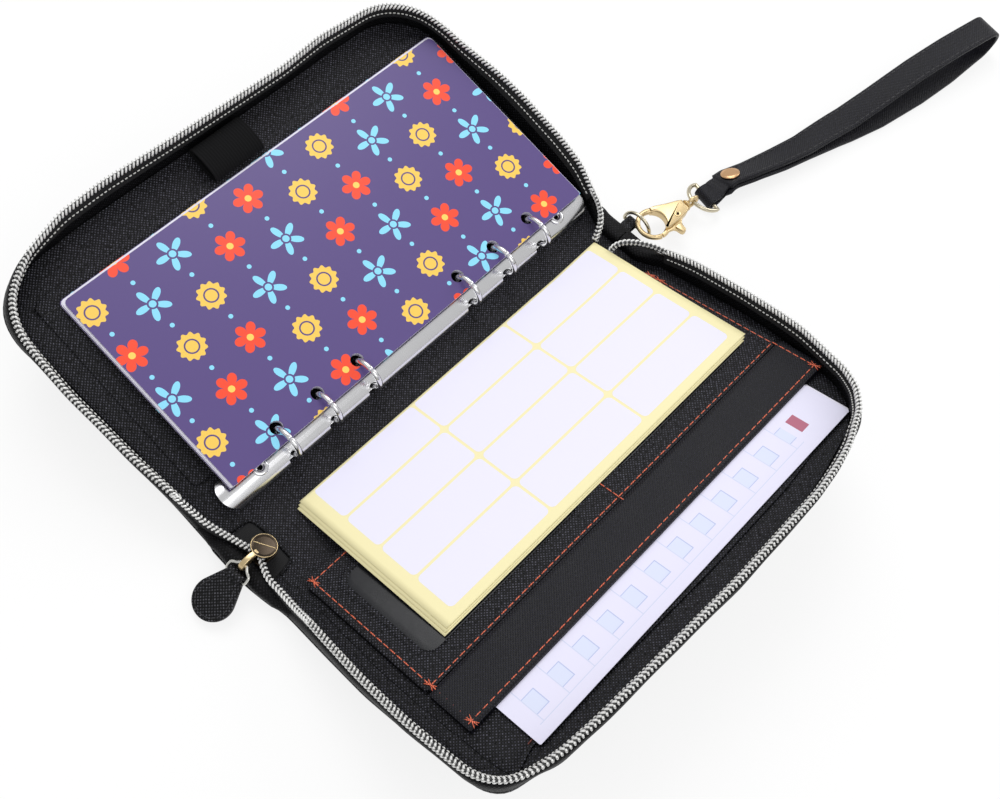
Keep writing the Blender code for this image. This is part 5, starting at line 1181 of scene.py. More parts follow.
# Pages. Coated card dividers, printed edge to edge in offset inks: a purple ground with coral blossoms,
# mustard rounds and sky-blue leaves. Plain sheets of white paper lie between them.
def work_out(tree, values, steps):
    """Adds a chain of Math nodes. Each step gives its result's name, its operation and its inputs, which are
    numbers or the names of earlier results."""
    for result, operation, *inputs in steps:
        given = {k: values[v] if isinstance(v, str) else v for k, v in enumerate(inputs)}
        values[result] = add(tree, "Math", given, operation=operation).outputs[0]
    return values


def layered(tree, ground, layers):
    """Colours laid one over another: each layer is a mask and the colour that shows where it is 1."""
    colour = linear(ground)
    for mask, ink in layers:
        mixed = add(tree, "Mix", {"Factor": mask}, data_type="RGBA")
        if isinstance(colour, bpy.types.NodeSocket):
            tree.links.new(colour, mixed.inputs["A"])
        else:
            mixed.inputs["A"].default_value = colour
        mixed.inputs["B"].default_value = linear(ink)
        colour = mixed.outputs["Result"]
    return colour


PAGE_LEAN = FOLD_ANGLES[-1] - math.radians(4.07)
MOTIF_PITCH = (15.4, 13.2)
printed_card, tree, shader = finish_with("coated printed card", roughness=0.32, specular_ior_level=0.35)
place = add(tree, "TexCoord").outputs["Object"]
turned_place = add(
    tree, "Mapping", {"Vector": place, "Rotation": (0, math.pi - PAGE_LEAN, 0), "Scale": (760, 760, 760)}
)
parts = add(tree, "SeparateXYZ", {0: turned_place.outputs[0]})
values = {"across": parts.outputs[0], "along": parts.outputs[1]}
work_out(tree, values, [
    ("b", "DIVIDE", "along", MOTIF_PITCH[1]),
    ("row", "FLOOR", "b"),
    ("odd", "PINGPONG", "row", 1.0),
    ("shift", "MULTIPLY", "odd", 0.5),
    ("a_plain", "DIVIDE", "across", MOTIF_PITCH[0]),
    ("a", "ADD", "a_plain", "shift"),
    ("column", "FLOOR", "a"),
    ("a_part", "SUBTRACT", "a", "column"),
    ("a_mid", "SUBTRACT", "a_part", 0.5),
    ("x", "MULTIPLY", "a_mid", MOTIF_PITCH[0]),
    ("b_part", "SUBTRACT", "b", "row"),
    ("b_mid", "SUBTRACT", "b_part", 0.5),
    ("y", "MULTIPLY", "b_mid", MOTIF_PITCH[1]),
    ("xx", "MULTIPLY", "x", "x"),
    ("yy", "MULTIPLY", "y", "y"),
    ("rr", "ADD", "xx", "yy"),
    ("r", "SQRT", "rr"),
    ("turn", "ARCTAN2", "y", "x"),
    ("rows_twice", "MULTIPLY", "row", 2.0),
    ("sum", "ADD", "column", "rows_twice"),
    ("sum_up", "ADD", "sum", 300.0),
    ("kind", "MODULO", "sum_up", 3.0),
    ("is_blossom", "LESS_THAN", "kind", 0.5),
    ("is_leaf", "GREATER_THAN", "kind", 1.5),
    ("some", "ADD", "is_blossom", "is_leaf"),
    ("is_round", "SUBTRACT", 1.0, "some"),
    ("turn_six", "MULTIPLY", "turn", 3.0),
    ("turn_six_on", "ADD", "turn_six", 0.9),
    ("petal_cos", "COSINE", "turn_six_on"),
    ("petal_abs", "ABSOLUTE", "petal_cos"),
    ("petal_root", "POWER", "petal_abs", 0.55),
    ("petal_grow", "MULTIPLY", "petal_root", 2.7),
    ("petal_reach", "ADD", "petal_grow", 1.75),
    ("in_petal", "LESS_THAN", "r", "petal_reach"),
    ("blossom", "MULTIPLY", "in_petal", "is_blossom"),
    ("in_heart", "LESS_THAN", "r", 0.95),
    ("heart", "MULTIPLY", "in_heart", "is_blossom"),
    ("turn_scallop", "MULTIPLY", "turn", 11.0),
    ("scallop_cos", "COSINE", "turn_scallop"),
    ("scallop", "MULTIPLY", "scallop_cos", 0.34),
    ("scallop_reach", "ADD", "scallop", 3.75),
    ("in_scallop", "LESS_THAN", "r", "scallop_reach"),
    ("rounded", "MULTIPLY", "in_scallop", "is_round"),
    ("from_ring", "SUBTRACT", "r", 1.9),
    ("ring_off", "ABSOLUTE", "from_ring"),
    ("on_ring", "LESS_THAN", "ring_off", 0.22),
    ("ring", "MULTIPLY", "on_ring", "is_round"),
    ("leaf_turn", "MULTIPLY", "turn", 2.5),
    ("leaf_turn_on", "ADD", "leaf_turn", 0.6),
    ("leaf_cos", "COSINE", "leaf_turn_on"),
    ("leaf_abs", "ABSOLUTE", "leaf_cos"),
    ("leaf_power", "POWER", "leaf_abs", 1.4),
    ("leaf_reach", "MULTIPLY", "leaf_power", 5.0),
    ("in_leaf", "LESS_THAN", "r", "leaf_reach"),
    ("off_bud", "GREATER_THAN", "r", 1.5),
    ("leaf_part", "MULTIPLY", "in_leaf", "off_bud"),
    ("in_bud", "LESS_THAN", "r", 1.0),
    ("leaf_or_bud", "MAXIMUM", "leaf_part", "in_bud"),
    ("leaves", "MULTIPLY", "leaf_or_bud", "is_leaf"),
    ("x_off", "ABSOLUTE", "x"),
    ("x_edge", "SUBTRACT", "x_off", MOTIF_PITCH[0] / 2),
    ("x_edge_square", "MULTIPLY", "x_edge", "x_edge"),
    ("dot_square", "ADD", "x_edge_square", "yy"),
    ("dot", "LESS_THAN", "dot_square", 0.42),
])
ink = layered(tree, "#594A80", [
    (values["blossom"], "#F04E33"), (values["heart"], "#F2CE63"), (values["rounded"], "#EFC75B"),
    (values["ring"], "#594A80"), (values["leaves"], "#8AD6F2"), (values["dot"], "#8AD6F2"),
])
face = add(tree, "NewGeometry").outputs["True Normal"]
facing = add(
    tree, "VectorMath", {0: face, 1: (math.sin(PAGE_LEAN), 0, math.cos(PAGE_LEAN))}, operation="DOT_PRODUCT"
)
is_face = add(tree, "Math", {0: facing.outputs["Value"]}, operation="ABSOLUTE")
is_flat = add(tree, "Math", {0: is_face.outputs[0], 1: 0.7}, operation="GREATER_THAN")
edge_or_print = add(tree, "Mix", {"Factor": is_flat.outputs[0]}, data_type="RGBA")
edge_or_print.inputs["A"].default_value = linear("#E9E6F0")
tree.links.new(ink, edge_or_print.inputs["B"])
tree.links.new(edge_or_print.outputs["Result"], shader.inputs["Base Color"])
fibre = add(tree, "TexNoise", {"Vector": place, "Scale": 700.0, "Detail": 3.0})
card_bump = add(tree, "Bump", {"Height": fibre.outputs["Fac"], "Strength": 0.1, "Distance": 0.05 * MM})
tree.links.new(card_bump.outputs[0], shader.inputs["Normal"])

plain_paper, tree, shader = finish_with("uncoated white paper", roughness=0.75)
fibre = add(
    tree, "TexNoise", {"Vector": add(tree, "TexCoord").outputs["Object"], "Scale": 600.0, "Detail": 4.0}
)
pulp = add(tree, "Mix", {"Factor": fibre.outputs["Fac"]}, data_type="RGBA")
pulp.inputs["A"].default_value = linear("#DCDAE8")
pulp.inputs["B"].default_value = linear("#EFEDF8")
tree.links.new(pulp.outputs["Result"], shader.inputs["Base Color"])
PAGE_SET_BACK = 1.9 * MM
PAGE_RIM = 2.27 * MM
page_way = np.array((-math.cos(PAGE_LEAN), 0, math.sin(PAGE_LEAN)))


def trimmed(places, foot):
    """Sets a page's near edge back from the arch, which draws its rim before the holes together, and moves
    its lower edge by foot."""
    from_edge = places @ page_way
    from_edge -= from_edge.min()
    places = places + PAGE_SET_BACK * np.maximum(1 - from_edge / PAGE_RIM, 0)[:, None] * page_way
    places[:, 1] -= np.where(places[:, 1] < -79 * MM, foot, 0)
    return places


for number, (node_name, material, foot) in enumerate((
    ("front_page", printed_card, 0.0), ("second_page", plain_paper, 1.1 * MM),
    ("third_page", plain_paper, 1.9 * MM),
    ("back_page", printed_card, 2.6 * MM),
), start=1):
    punched = rebuilt(
        f"punched_page_{number}", node_name, lambda places: trimmed(places, foot), material, page_way,
        PAGE_RIM,
    )
    punched.data.shade_flat()
    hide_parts(node_name)
    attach(punched, "page_stack")


# Back pocket. Cross-grain leather, flat on the right cover behind all else; its outer edge is turned in
# and sewn with dark red thread.
CONTENT_SHIFT = 2.3 * MM
red_thread, tree, shader = finish_with("orange-red polyester thread", roughness=0.5)
place = add(tree, "TexCoord").outputs["Object"]
twist = add(tree, "TexWave", {"Vector": place, "Scale": 0.314 / (0.5 * MM)}, bands_direction="DIAGONAL")
# Its twist's bands run from a dark red to a pale orange: the thread's own orange-red, with painted highlight
# on the plies' crests.
twist_tone_with_painted_highlight = add(tree, "Mix", {"Factor": twist.outputs["Fac"]}, data_type="RGBA")
twist_tone_with_painted_highlight.inputs["A"].default_value = linear("#A63A2A")
twist_tone_with_painted_highlight.inputs["B"].default_value = linear("#F0805A")
tree.links.new(twist_tone_with_painted_highlight.outputs["Result"], shader.inputs["Base Color"])
thread_bump = add(tree, "Bump", {"Height": twist.outputs["Fac"], "Strength": 0.5, "Distance": 0.06 * MM})
tree.links.new(thread_bump.outputs[0], shader.inputs["Normal"])

dark_red_thread, tree, shader = finish_with("dark red polyester thread", roughness=0.6)
place = add(tree, "TexCoord").outputs["Object"]
twist = add(tree, "TexWave", {"Vector": place, "Scale": 0.314 / (0.5 * MM)}, bands_direction="DIAGONAL")
# Its twist's bands run between two reds: the paler one is painted highlight on the plies' crests.
twist_tone_with_painted_highlight = add(tree, "Mix", {"Factor": twist.outputs["Fac"]}, data_type="RGBA")
twist_tone_with_painted_highlight.inputs["A"].default_value = linear("#5E2C26")
twist_tone_with_painted_highlight.inputs["B"].default_value = linear("#82443A")
tree.links.new(twist_tone_with_painted_highlight.outputs["Result"], shader.inputs["Base Color"])

plan = panel_grid(9 * MM, 107 * MM, CONTENT_SHIFT - 94 * MM, CONTENT_SHIFT + 88 * MM, 3 * MM, 60, 90)
u, y = plan
lip = ease((u - 102.6 * MM) / (0.8 * MM))
back_height = 4.02 * MM + 0.35 * MM * lip + 0 * y
plan = sculpted(1, u, y, 4 * MM)
back_panel = raised_panel("back_pocket_panel", 1, plan, back_height, SLIP_LOW, lining_leather)
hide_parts("back_pocket")
seam_y = CONTENT_SHIFT + np.linspace(-84, 82, 60) * MM
back_seam = seam_on(
    1, "back_pocket_stitches", np.stack(sculpted(1, 103.9 * MM, seam_y, 4 * MM), axis=-1), 4.42 * MM,
    3.6 * MM, 0.7, 0.24 * MM, dark_red_thread,
)
for piece in (back_panel, back_seam):
    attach(piece, "right_cover")

# Card panel. Cross-grain leather in front of the back pocket, with two round-cornered vinyl windows let
# in behind welded frames; sewn all round in orange-red, with a divider between the windows.
PANEL_START = 5.0 * MM
PANEL_SPLIT = 66.0 * MM
PANEL_LOW = CONTENT_SHIFT - 90.0 * MM
PANEL_HIGH = CONTENT_SHIFT + 90.0 * MM
PANEL_TOP = 6.1 * MM
WINDOW_MARGIN = 9.0 * MM
WINDOW_CORNER = 5.0 * MM


def window_distance(u, y, low, high):
    """How far a place lies outside a window's round-cornered outline, and below zero inside it."""
    mid_u = (PANEL_START + PANEL_SPLIT) / 2
    half_u = (PANEL_SPLIT - PANEL_START) / 2 - WINDOW_MARGIN - WINDOW_CORNER
    half_y = (high - low) / 2 - WINDOW_CORNER
    over_u = np.abs(u - mid_u) - half_u
    over_y = np.abs(y - (low + high) / 2) - half_y
    outside = np.hypot(np.maximum(over_u, 0), np.maximum(over_y, 0))
    return outside + np.minimum(np.maximum(over_u, over_y), 0) - WINDOW_CORNER


windows = [
    (PANEL_LOW + WINDOW_MARGIN, CONTENT_SHIFT - WINDOW_MARGIN),
    (CONTENT_SHIFT + WINDOW_MARGIN, PANEL_HIGH - WINDOW_MARGIN)
]
plan = panel_grid(PANEL_START, PANEL_SPLIT - 0.3 * MM, PANEL_LOW, PANEL_HIGH, 3 * MM, 150, 400)
u, y = plan
nearest = np.minimum(*(window_distance(u, y, *w) for w in windows))
frame_bead = 0.28 * MM * np.exp(-((nearest - 1.3 * MM) / (0.75 * MM)) ** 2)
sunk = 0.45 * MM * ease(-nearest / (0.7 * MM) + 0.3)
pad = 0.12 * MM * np.sin(y * 45 + 2) * np.sin(u * 60) * ease(nearest / (3 * MM))
panel_height = PANEL_TOP + frame_bead - sunk + pad
card_panel = raised_panel("card_panel", 1, plan, panel_height, SLIP_LOW, lining_leather)
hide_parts("card_pocket")

vinyl, tree, shader = finish_with("smoky clear vinyl", roughness=0.24, specular_ior_level=0.28)
place = add(tree, "TexCoord").outputs["Object"]
haze = add(tree, "TexNoise", {"Vector": place, "Scale": 45.0, "Detail": 3.0})
tint = add(tree, "Mix", {"Factor": haze.outputs["Fac"]}, data_type="RGBA")
tint.inputs["A"].default_value = linear("#121317")
tint.inputs["B"].default_value = linear("#17181D")
tree.links.new(tint.outputs["Result"], shader.inputs["Base Color"])
sag = add(tree, "Bump", {"Height": haze.outputs["Fac"], "Strength": 0.12, "Distance": 1.2 * MM})
tree.links.new(sag.outputs[0], shader.inputs["Normal"])
for number, (low, high) in enumerate(windows, start=1):
    plan = panel_grid(
        PANEL_START + WINDOW_MARGIN - 0.4 * MM, PANEL_SPLIT - WINDOW_MARGIN + 0.4 * MM, low - 0.4 * MM,
        high + 0.4 * MM,
        WINDOW_CORNER, 30, 50,
    )
    pane_height = 5.78 * MM + 0.08 * MM * np.sin(plan[1] * 80) * np.sin(plan[0] * 120)
    pane = raised_panel(f"window_pane_{number}", 1, plan, pane_height, 5.45 * MM, vinyl, 0.1 * MM)
    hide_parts(f"window_{number}")
    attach(pane, "right_cover")

# Strip pocket. A band of fine cross-grain leather along the card panel's outer edge; both its edges are sewn
# in orange-red, and its ends are tacked.
STRIP_MOUTH = 84.5 * MM


# The last value sets the peak of this leather's painted glints.
band_leather = cross_grain("fine cross-grain PU leather", "#111118", 0.8 * MM, 0.1 * MM, 0.42, 0.2, 5.0)
plan = panel_grid(PANEL_SPLIT + 0.1 * MM, STRIP_MOUTH, PANEL_LOW, PANEL_HIGH, 0.8 * MM, 40, 160)
u, y = plan
roll_in = ease((u - PANEL_SPLIT) / (1.6 * MM)) * ease((STRIP_MOUTH - u) / (1.0 * MM))
strip_height = PANEL_TOP + 0.25 * MM + 0.35 * MM * roll_in + 0.12 * MM * np.sin(y * 52) * roll_in
strip = raised_panel("strip_pocket_band", 1, plan, strip_height, SLIP_LOW, band_leather)
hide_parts("strip_pocket")
for piece, slot_name in ((card_panel, "outer_leather"), (strip, "smooth_leather")):
    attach(piece, "right_cover")
STITCH = {"pitch": 3.2 * MM, "stitch": 0.84, "thread": 0.23 * MM, "material": red_thread}
SEAM_LOW = PANEL_LOW + 2.6 * MM
SEAM_HIGH = PANEL_HIGH - 2.6 * MM
SEAM_SPLIT = PANEL_SPLIT - 1.6 * MM
for name, line, height in (
    ("panel_inner_seam", [(PANEL_START + 2.2 * MM, SEAM_LOW), (PANEL_START + 2.2 * MM, SEAM_HIGH)], 6.12),
    ("panel_lower_seam", [(PANEL_START + 2.2 * MM, SEAM_LOW), (SEAM_SPLIT, SEAM_LOW)], 6.12),
    ("panel_upper_seam", [(PANEL_START + 2.2 * MM, SEAM_HIGH), (SEAM_SPLIT, SEAM_HIGH)], 6.12),
    ("panel_split_seam", [(SEAM_SPLIT, SEAM_LOW), (SEAM_SPLIT, SEAM_HIGH)], 6.14),
    ("panel_divider_seam", [(55.8 * MM, 4.2 * MM), (SEAM_SPLIT + 3.4 * MM, 4.2 * MM)], 6.3),
    ("strip_lower_seam", [(SEAM_SPLIT, SEAM_LOW), (STRIP_MOUTH - 2.0 * MM, SEAM_LOW)], 6.62),
    ("strip_upper_seam", [(SEAM_SPLIT, SEAM_HIGH), (STRIP_MOUTH - 2.0 * MM, SEAM_HIGH)], 6.62),
    (
        "strip_mouth_seam",
        [(STRIP_MOUTH - 2.0 * MM, PANEL_LOW + 1.0 * MM), (STRIP_MOUTH - 2.0 * MM, PANEL_HIGH - MM)], 6.72
    ),
):
    seam = seam_on(1, name, line, height * MM, **STITCH)
    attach(seam, "right_cover")
tack_places = np.array([
    (STRIP_MOUTH - 1.8 * MM, SEAM_LOW), (SEAM_SPLIT, SEAM_LOW), (PANEL_START + 2.4 * MM, SEAM_LOW),
    (STRIP_MOUTH - 1.8 * MM, SEAM_HIGH), (PANEL_START + 2.4 * MM, SEAM_HIGH),
    (PANEL_START + 7.0 * MM, SEAM_HIGH),
])
strokes = np.array([(2.2, 1.1), (2.2, -1.1), (2.4, 0.3)]) * MM
tack_low, tack_high = (
    (tack_places[:, None] + way * strokes[None]).reshape(-1, 2) for way in (-1, 1)
)
tack_height = np.repeat([6.85, 6.35, 6.25, 6.85, 6.25, 6.25], 3) * MM
tacks = stitches(
    "bar_tacks", on_cover(1, tack_low[:, 0], tack_low[:, 1], tack_height),
    on_cover(1, tack_high[:, 0], tack_high[:, 1], tack_height),
    (-math.sin(FOLD_ANGLES[1]), 0, math.cos(FOLD_ANGLES[1])), 0.2 * MM, red_thread,
)
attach(tacks, "right_cover")


# Budget sheets. Uncoated paper in the strip pocket, printed in pale blue: a column of boxes beside the
# pocket's edge, hairlines across, and one small block in dull red near the upper end.
BUDGET_START = 32.0 * MM
BUDGET_WIDTH = 71.0 * MM
BUDGET_HALF = 79.0 * MM
FORM_PITCH = 11.6 * MM
FORM_PHASE = 40.08
form_paper, tree, shader = finish_with("printed form paper", roughness=0.7)
place = add(tree, "UVMap", uv_map="metres").outputs[0]
parts = add(tree, "SeparateXYZ", {0: place})
values = {"u": parts.outputs[0], "y": parts.outputs[1]}
work_out(tree, values, [
    ("step", "DIVIDE", "y", FORM_PITCH),
    ("step_on", "ADD", "step", FORM_PHASE),
    ("part", "FRACT", "step_on"),
    ("in_cell", "LESS_THAN", "part", 0.5),
    ("cell_mid", "SUBTRACT", "part", 0.25),
    ("cell_off", "ABSOLUTE", "cell_mid"),
    ("cell_rim", "GREATER_THAN", "cell_off", 0.22),
    ("u_from", "SUBTRACT", "u", 92.3 * MM),
    ("u_off", "ABSOLUTE", "u_from"),
    ("column", "LESS_THAN", "u_off", 3.5 * MM),
    ("column_rim", "GREATER_THAN", "u_off", 3.2 * MM),
    ("over_foot", "GREATER_THAN", "y", -72.0 * MM),
    ("under_head", "LESS_THAN", "y", 61.0 * MM),
    ("printed", "MULTIPLY", "over_foot", "under_head"),
    ("cells", "MULTIPLY", "in_cell", "column"),
    ("boxes", "MULTIPLY", "cells", "printed"),
    ("any_rim", "MAXIMUM", "cell_rim", "column_rim"),
    ("outlines", "MULTIPLY", "any_rim", "boxes"),
    ("line_part", "LESS_THAN", "part", 0.03),
    ("to_margin", "LESS_THAN", "u", 98.6 * MM),
    ("line_to", "MULTIPLY", "line_part", "to_margin"),
    ("lines", "MULTIPLY", "line_to", "printed"),
    ("rule_off", "SUBTRACT", "u", 98.6 * MM),
    ("rule_near", "ABSOLUTE", "rule_off"),
    ("rule_part", "LESS_THAN", "rule_near", 0.15 * MM),
    ("rule", "MULTIPLY", "rule_part", "printed"),
    ("block_from", "SUBTRACT", "y", 66.0 * MM),
    ("block_off", "ABSOLUTE", "block_from"),
    ("block_y", "LESS_THAN", "block_off", 2.1 * MM),
    ("block", "MULTIPLY", "block_y", "column"),
])
ink = layered(tree, "#E1DFF3", [
    (values["boxes"], "#D6DCF2"), (values["outlines"], "#B4BEE2"), (values["lines"], "#CDD2EA"),
    (values["rule"], "#CDD2EA"), (values["block"], "#B0667C"),
])
tree.links.new(ink, shader.inputs["Base Color"])
for number in range(3):
    start = BUDGET_START - (2 - number) * 0.5 * MM
    shift = CONTENT_SHIFT + (2 - number) * 0.6 * MM
    low = (4.2 + number * 0.4) * MM
    plan = panel_grid(start, start + BUDGET_WIDTH, shift - BUDGET_HALF, shift + BUDGET_HALF, 0.6 * MM, 20, 40)
    bow = 0.04 * MM * np.sin((plan[1] - shift) / BUDGET_HALF * math.pi)
    sheet = raised_panel(
        f"budget_form_{number + 1}", 1, plan, low + 0.25 * MM + bow, low,
        form_paper if number == 2 else plain_paper,
        0.02 * MM,
    )
    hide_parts(f"budget_sheet_{number + 1}")
    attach(sheet, "budget_sheets")

# Label sheets. Three loose sheets of self-adhesive labels: white face paper, cut through in round-cornered
# labels, on pale yellow backing. They lean from the card panel onto the spine.
LABEL_START = -18.0 * MM
LABEL_END = 55.0 * MM
LABEL_HALF = 77.5 * MM
LABEL_SHIFT = 9.0 * MM
LABEL_OUTER_H = 6.5 * MM
LABEL_SLOPE = math.radians(2.65)
label_paper, tree, shader = finish_with("self-adhesive label paper", roughness=0.55, specular_ior_level=0.3)
place = add(tree, "UVMap", uv_map="metres").outputs[0]
parts = add(tree, "SeparateXYZ", {0: place})
values = {"u": parts.outputs[0], "y": parts.outputs[1]}
LABEL_COLUMN = 17.4 * MM
LABEL_ROW = 48.6 * MM
LABEL_GUTTER = 0.55 * MM
LABEL_CORNER = 1.9 * MM
work_out(tree, values, [
    ("u_cells", "SUBTRACT", "u", -0.6 * MM - 2 * LABEL_COLUMN),
    ("u_over", "MODULO", "u_cells", LABEL_COLUMN),
    ("u_mid", "SUBTRACT", "u_over", LABEL_COLUMN / 2),
    ("u_off", "ABSOLUTE", "u_mid"),
    ("u_past", "SUBTRACT", "u_off", LABEL_COLUMN / 2 - LABEL_GUTTER - LABEL_CORNER),
    ("u_out", "MAXIMUM", "u_past", 0.0),
    ("y_cells", "SUBTRACT", "y", -63.2 * MM - LABEL_ROW),
    ("y_over", "MODULO", "y_cells", LABEL_ROW),
    ("y_mid", "SUBTRACT", "y_over", LABEL_ROW / 2),
    ("y_off", "ABSOLUTE", "y_mid"),
    ("y_past", "SUBTRACT", "y_off", LABEL_ROW / 2 - LABEL_GUTTER - LABEL_CORNER),
    ("y_out", "MAXIMUM", "y_past", 0.0),
    ("uu", "MULTIPLY", "u_out", "u_out"),
    ("yy", "MULTIPLY", "y_out", "y_out"),
    ("out_square", "ADD", "uu", "yy"),
    ("out", "SQRT", "out_square"),
    ("inside", "LESS_THAN", "out", LABEL_CORNER),
    ("right_of", "GREATER_THAN", "u", -17.2 * MM),
    ("left_of", "LESS_THAN", "u", 52.0 * MM),
    ("above_foot", "GREATER_THAN", "y", -63.0 * MM),
    ("below_head", "LESS_THAN", "y", 83.0 * MM),
    ("within_u", "MULTIPLY", "right_of", "left_of"),
    ("within_y", "MULTIPLY", "above_foot", "below_head"),
    ("within", "MULTIPLY", "within_u", "within_y"),
    ("label", "MULTIPLY", "inside", "within"),
])
ink = layered(tree, "#ECE3B2", [(values["label"], "#E3E1F3")])
tree.links.new(ink, shader.inputs["Base Color"])
cut_line = add(tree, "Bump", {"Height": values["label"], "Strength": 0.5, "Distance": 0.08 * MM})
tree.links.new(cut_line.outputs[0], shader.inputs["Normal"])
for number in range(3):
    fan = (2 - number) * 1.1 * MM
    share = np.linspace(0, 1, 90)[:, None]
    u_label = LABEL_START + fan / 2 + (LABEL_END - LABEL_START) * share
    y = LABEL_SHIFT - fan + np.linspace(-LABEL_HALF, LABEL_HALF, 60)[None, :]
    u_label, y = np.broadcast_arrays(u_label, y)
    back_run = LABEL_END - u_label
    low = number * 0.4 * MM
    u = LABEL_END - back_run * math.cos(LABEL_SLOPE) + low * math.sin(LABEL_SLOPE)
    curl = 0.9 * MM * ease((y - 60 * MM) / (30 * MM)) * ease((30 * MM - u_label) / (50 * MM)) * (
        number + 1
    ) / 3
    h = LABEL_OUTER_H + back_run * math.sin(LABEL_SLOPE) + low + curl
    uv = np.stack([u_label, y], axis=-1)
    sheet = surface(f"label_paper_{number + 1}", on_cover(1, u, y, h), label_paper, uv)
    thicken(sheet, 0.22 * MM, 1.0)
    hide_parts(f"label_sheet_{number + 1}")
    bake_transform(sheet)


# Case ring. A leather tab at the spine's upper end is folded round the bar of a thin gold D-ring.
BAR_PLACE = np.array((0, 106.0, 3.0)) * MM
TAB_MIDDLE = -2.9 * MM
TAB_HALF = 2.3 * MM
TAB_LEATHER = 0.85 * MM
tab_radius = 1.25 * MM + TAB_LEATHER / 2
turn = np.linspace(-math.pi / 2, math.pi / 2, 20)
tab_line = np.concatenate([
    [(99.0, 3.0 - tab_radius / MM)], [(103.0, 3.0 - tab_radius / MM)],
    np.stack([106.0 + tab_radius / MM * np.cos(turn), 3.0 + tab_radius / MM * np.sin(turn)], axis=-1),
    [(103.4, 3.0 + tab_radius / MM)], [(100.6, 3.0 + tab_radius / MM - 0.3)],
]) * MM
tab_path = np.stack([np.full(len(tab_line), TAB_MIDDLE), tab_line[:, 0], tab_line[:, 1]], axis=-1)


def band_outline(half_width, half_thickness, rounding, steps=4):
    """The cross-section of a leather band: a rectangle with round corners."""
    turn = np.linspace(0, math.pi / 2, steps + 1)
    corners = []
    for number, (side_x, side_y) in enumerate(((1, 1), (-1, 1), (-1, -1), (1, -1))):
        swing = turn + number * math.pi / 2
        corners.append(np.stack([
            side_x * (half_width - rounding) + rounding * np.cos(swing),
            side_y * (half_thickness - rounding) + rounding * np.sin(swing),
        ], axis=-1))
    return np.concatenate(corners)


tab = surface(
    "case_tab", sweep(tab_path, band_outline(TAB_HALF, TAB_LEATHER / 2, 0.3 * MM), (1.0, 0, 0)),
    shell_leather,
    wrap=True, caps=True,
)
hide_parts("ring_tab")
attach(tab, "spine")

turn = np.linspace(0, math.pi, 44)
bow = np.stack([6.5 * np.cos(turn), 0 * turn, 7.5 * np.sin(turn)], axis=-1)
bar = np.stack([np.linspace(-6.5, 6.5, 14)[1:-1], np.zeros(12), np.zeros(12)], axis=-1)
ring_path = BAR_PLACE + np.concatenate([bow, bar]) * MM
silver_gold = metal("silver-gold plating", "#CCC3AC", 0.26, 0.07)
case_ring = surface(
    "case_d_ring", sweep(ring_path, circle(0.72 * MM, 14), (0, 1.0, 0), closed=True), silver_gold,
    wrap=True, closed=True
)
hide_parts("case_ring")
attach(case_ring, "case_ring")


# Clasp. Die-cast lobster claw in pale gold: a tapered body with a round mouth, a hook that comes back to
# it, and between its cheeks a sprung gate with a thumb lever on a pin.
EYE_PLACE = np.array((4.8022, 109.6, 6.6)) * MM
ALONG = np.array((math.sin(math.radians(10.7)), math.cos(math.radians(10.7)), 0))
ACROSS = np.array((ALONG[1], -ALONG[0], 0))


def on_clasp(t, n, z):
    """The clasp's own measures in the row frame: t towards the strap, n to the thumb lever's side, z up."""
    t, n, z = np.broadcast_arrays(t, n, z)
    return EYE_PLACE + t[..., None] * ALONG + n[..., None] * ACROSS + z[..., None] * np.array((0, 0, 1.0))


mouth = np.radians(np.linspace(64, -64, 26))
mouth_curve = np.stack([5.25 * np.cos(mouth), 5.25 * np.sin(mouth)], axis=-1)
flank = np.array([
    (2.6, -6.3), (4.6, -6.15), (6.4, -5.6), (9.0, -4.7), (12.0, -3.85), (14.4, -3.3), (15.3, -2.9),
    (16.4, -2.35),
])
far_side = np.array(
    [(16.4, 2.35), (15.3, 2.9), (14.4, 3.35), (12.2, 3.95), (9.8, 4.6), (7.4, 5.0), (4.4, 5.4)]
)
body_outline = np.concatenate([flank, far_side, mouth_curve]) * MM
body = surface(
    "clasp_body", plate(body_outline, 2.0 * MM, 0.7 * MM, on_clasp), pale_gold, wrap=True, caps=True
)
turn = np.radians(np.linspace(-56, -262, 60))
thick = 1.0 + 0.35 * np.clip(1 - np.linspace(0, 3.2, 60), 0, 1) + 0.1 * np.clip(np.linspace(-7, 1, 60), 0, 1)
hook_path = on_clasp(6.2 * MM * np.cos(turn), 6.2 * MM * np.sin(turn), 0.0)
hook = surface(
    "clasp_hook_bow", sweep(hook_path, circle(thick * MM, 18), (0, 0, 1.0)), pale_gold, wrap=True, caps=True
)
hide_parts("clasp_hook")
rivet = turned(
    np.array([
        (0.15, -2.15), (0.9, -2.15), (1.1, -1.95), (1.1, 1.95), (1.35, 2.0), (1.3, 2.2),
        (0.85, 2.28), (0.6, 2.1), (0.15, 1.95),
    ]) * MM,
    on_clasp(10.5 * MM, 2.2 * MM, 0.0),
)
pin = surface("clasp_pin", rivet, pale_gold, wrap=True, caps=True)
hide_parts("trigger_pin")
# A dark disc fills the pin's hollow head: painted shade in the dimple, not a darker metal.
painted_shade_metal = metal("shadowed dimple", "#2A2018", 0.5, 0.05)
dimple = surface(
    "clasp_pin_dimple_painted_shade",
    turned(
        np.array([(0.1, 2.0), (0.62, 2.0), (0.62, 2.12), (0.1, 2.1)]) * MM, on_clasp(10.5 * MM, 2.2 * MM, 0.0)
    ),
    painted_shade_metal, wrap=True, caps=True,
)
for piece in (body, hook, pin, dimple):
    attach(piece, "clasp")

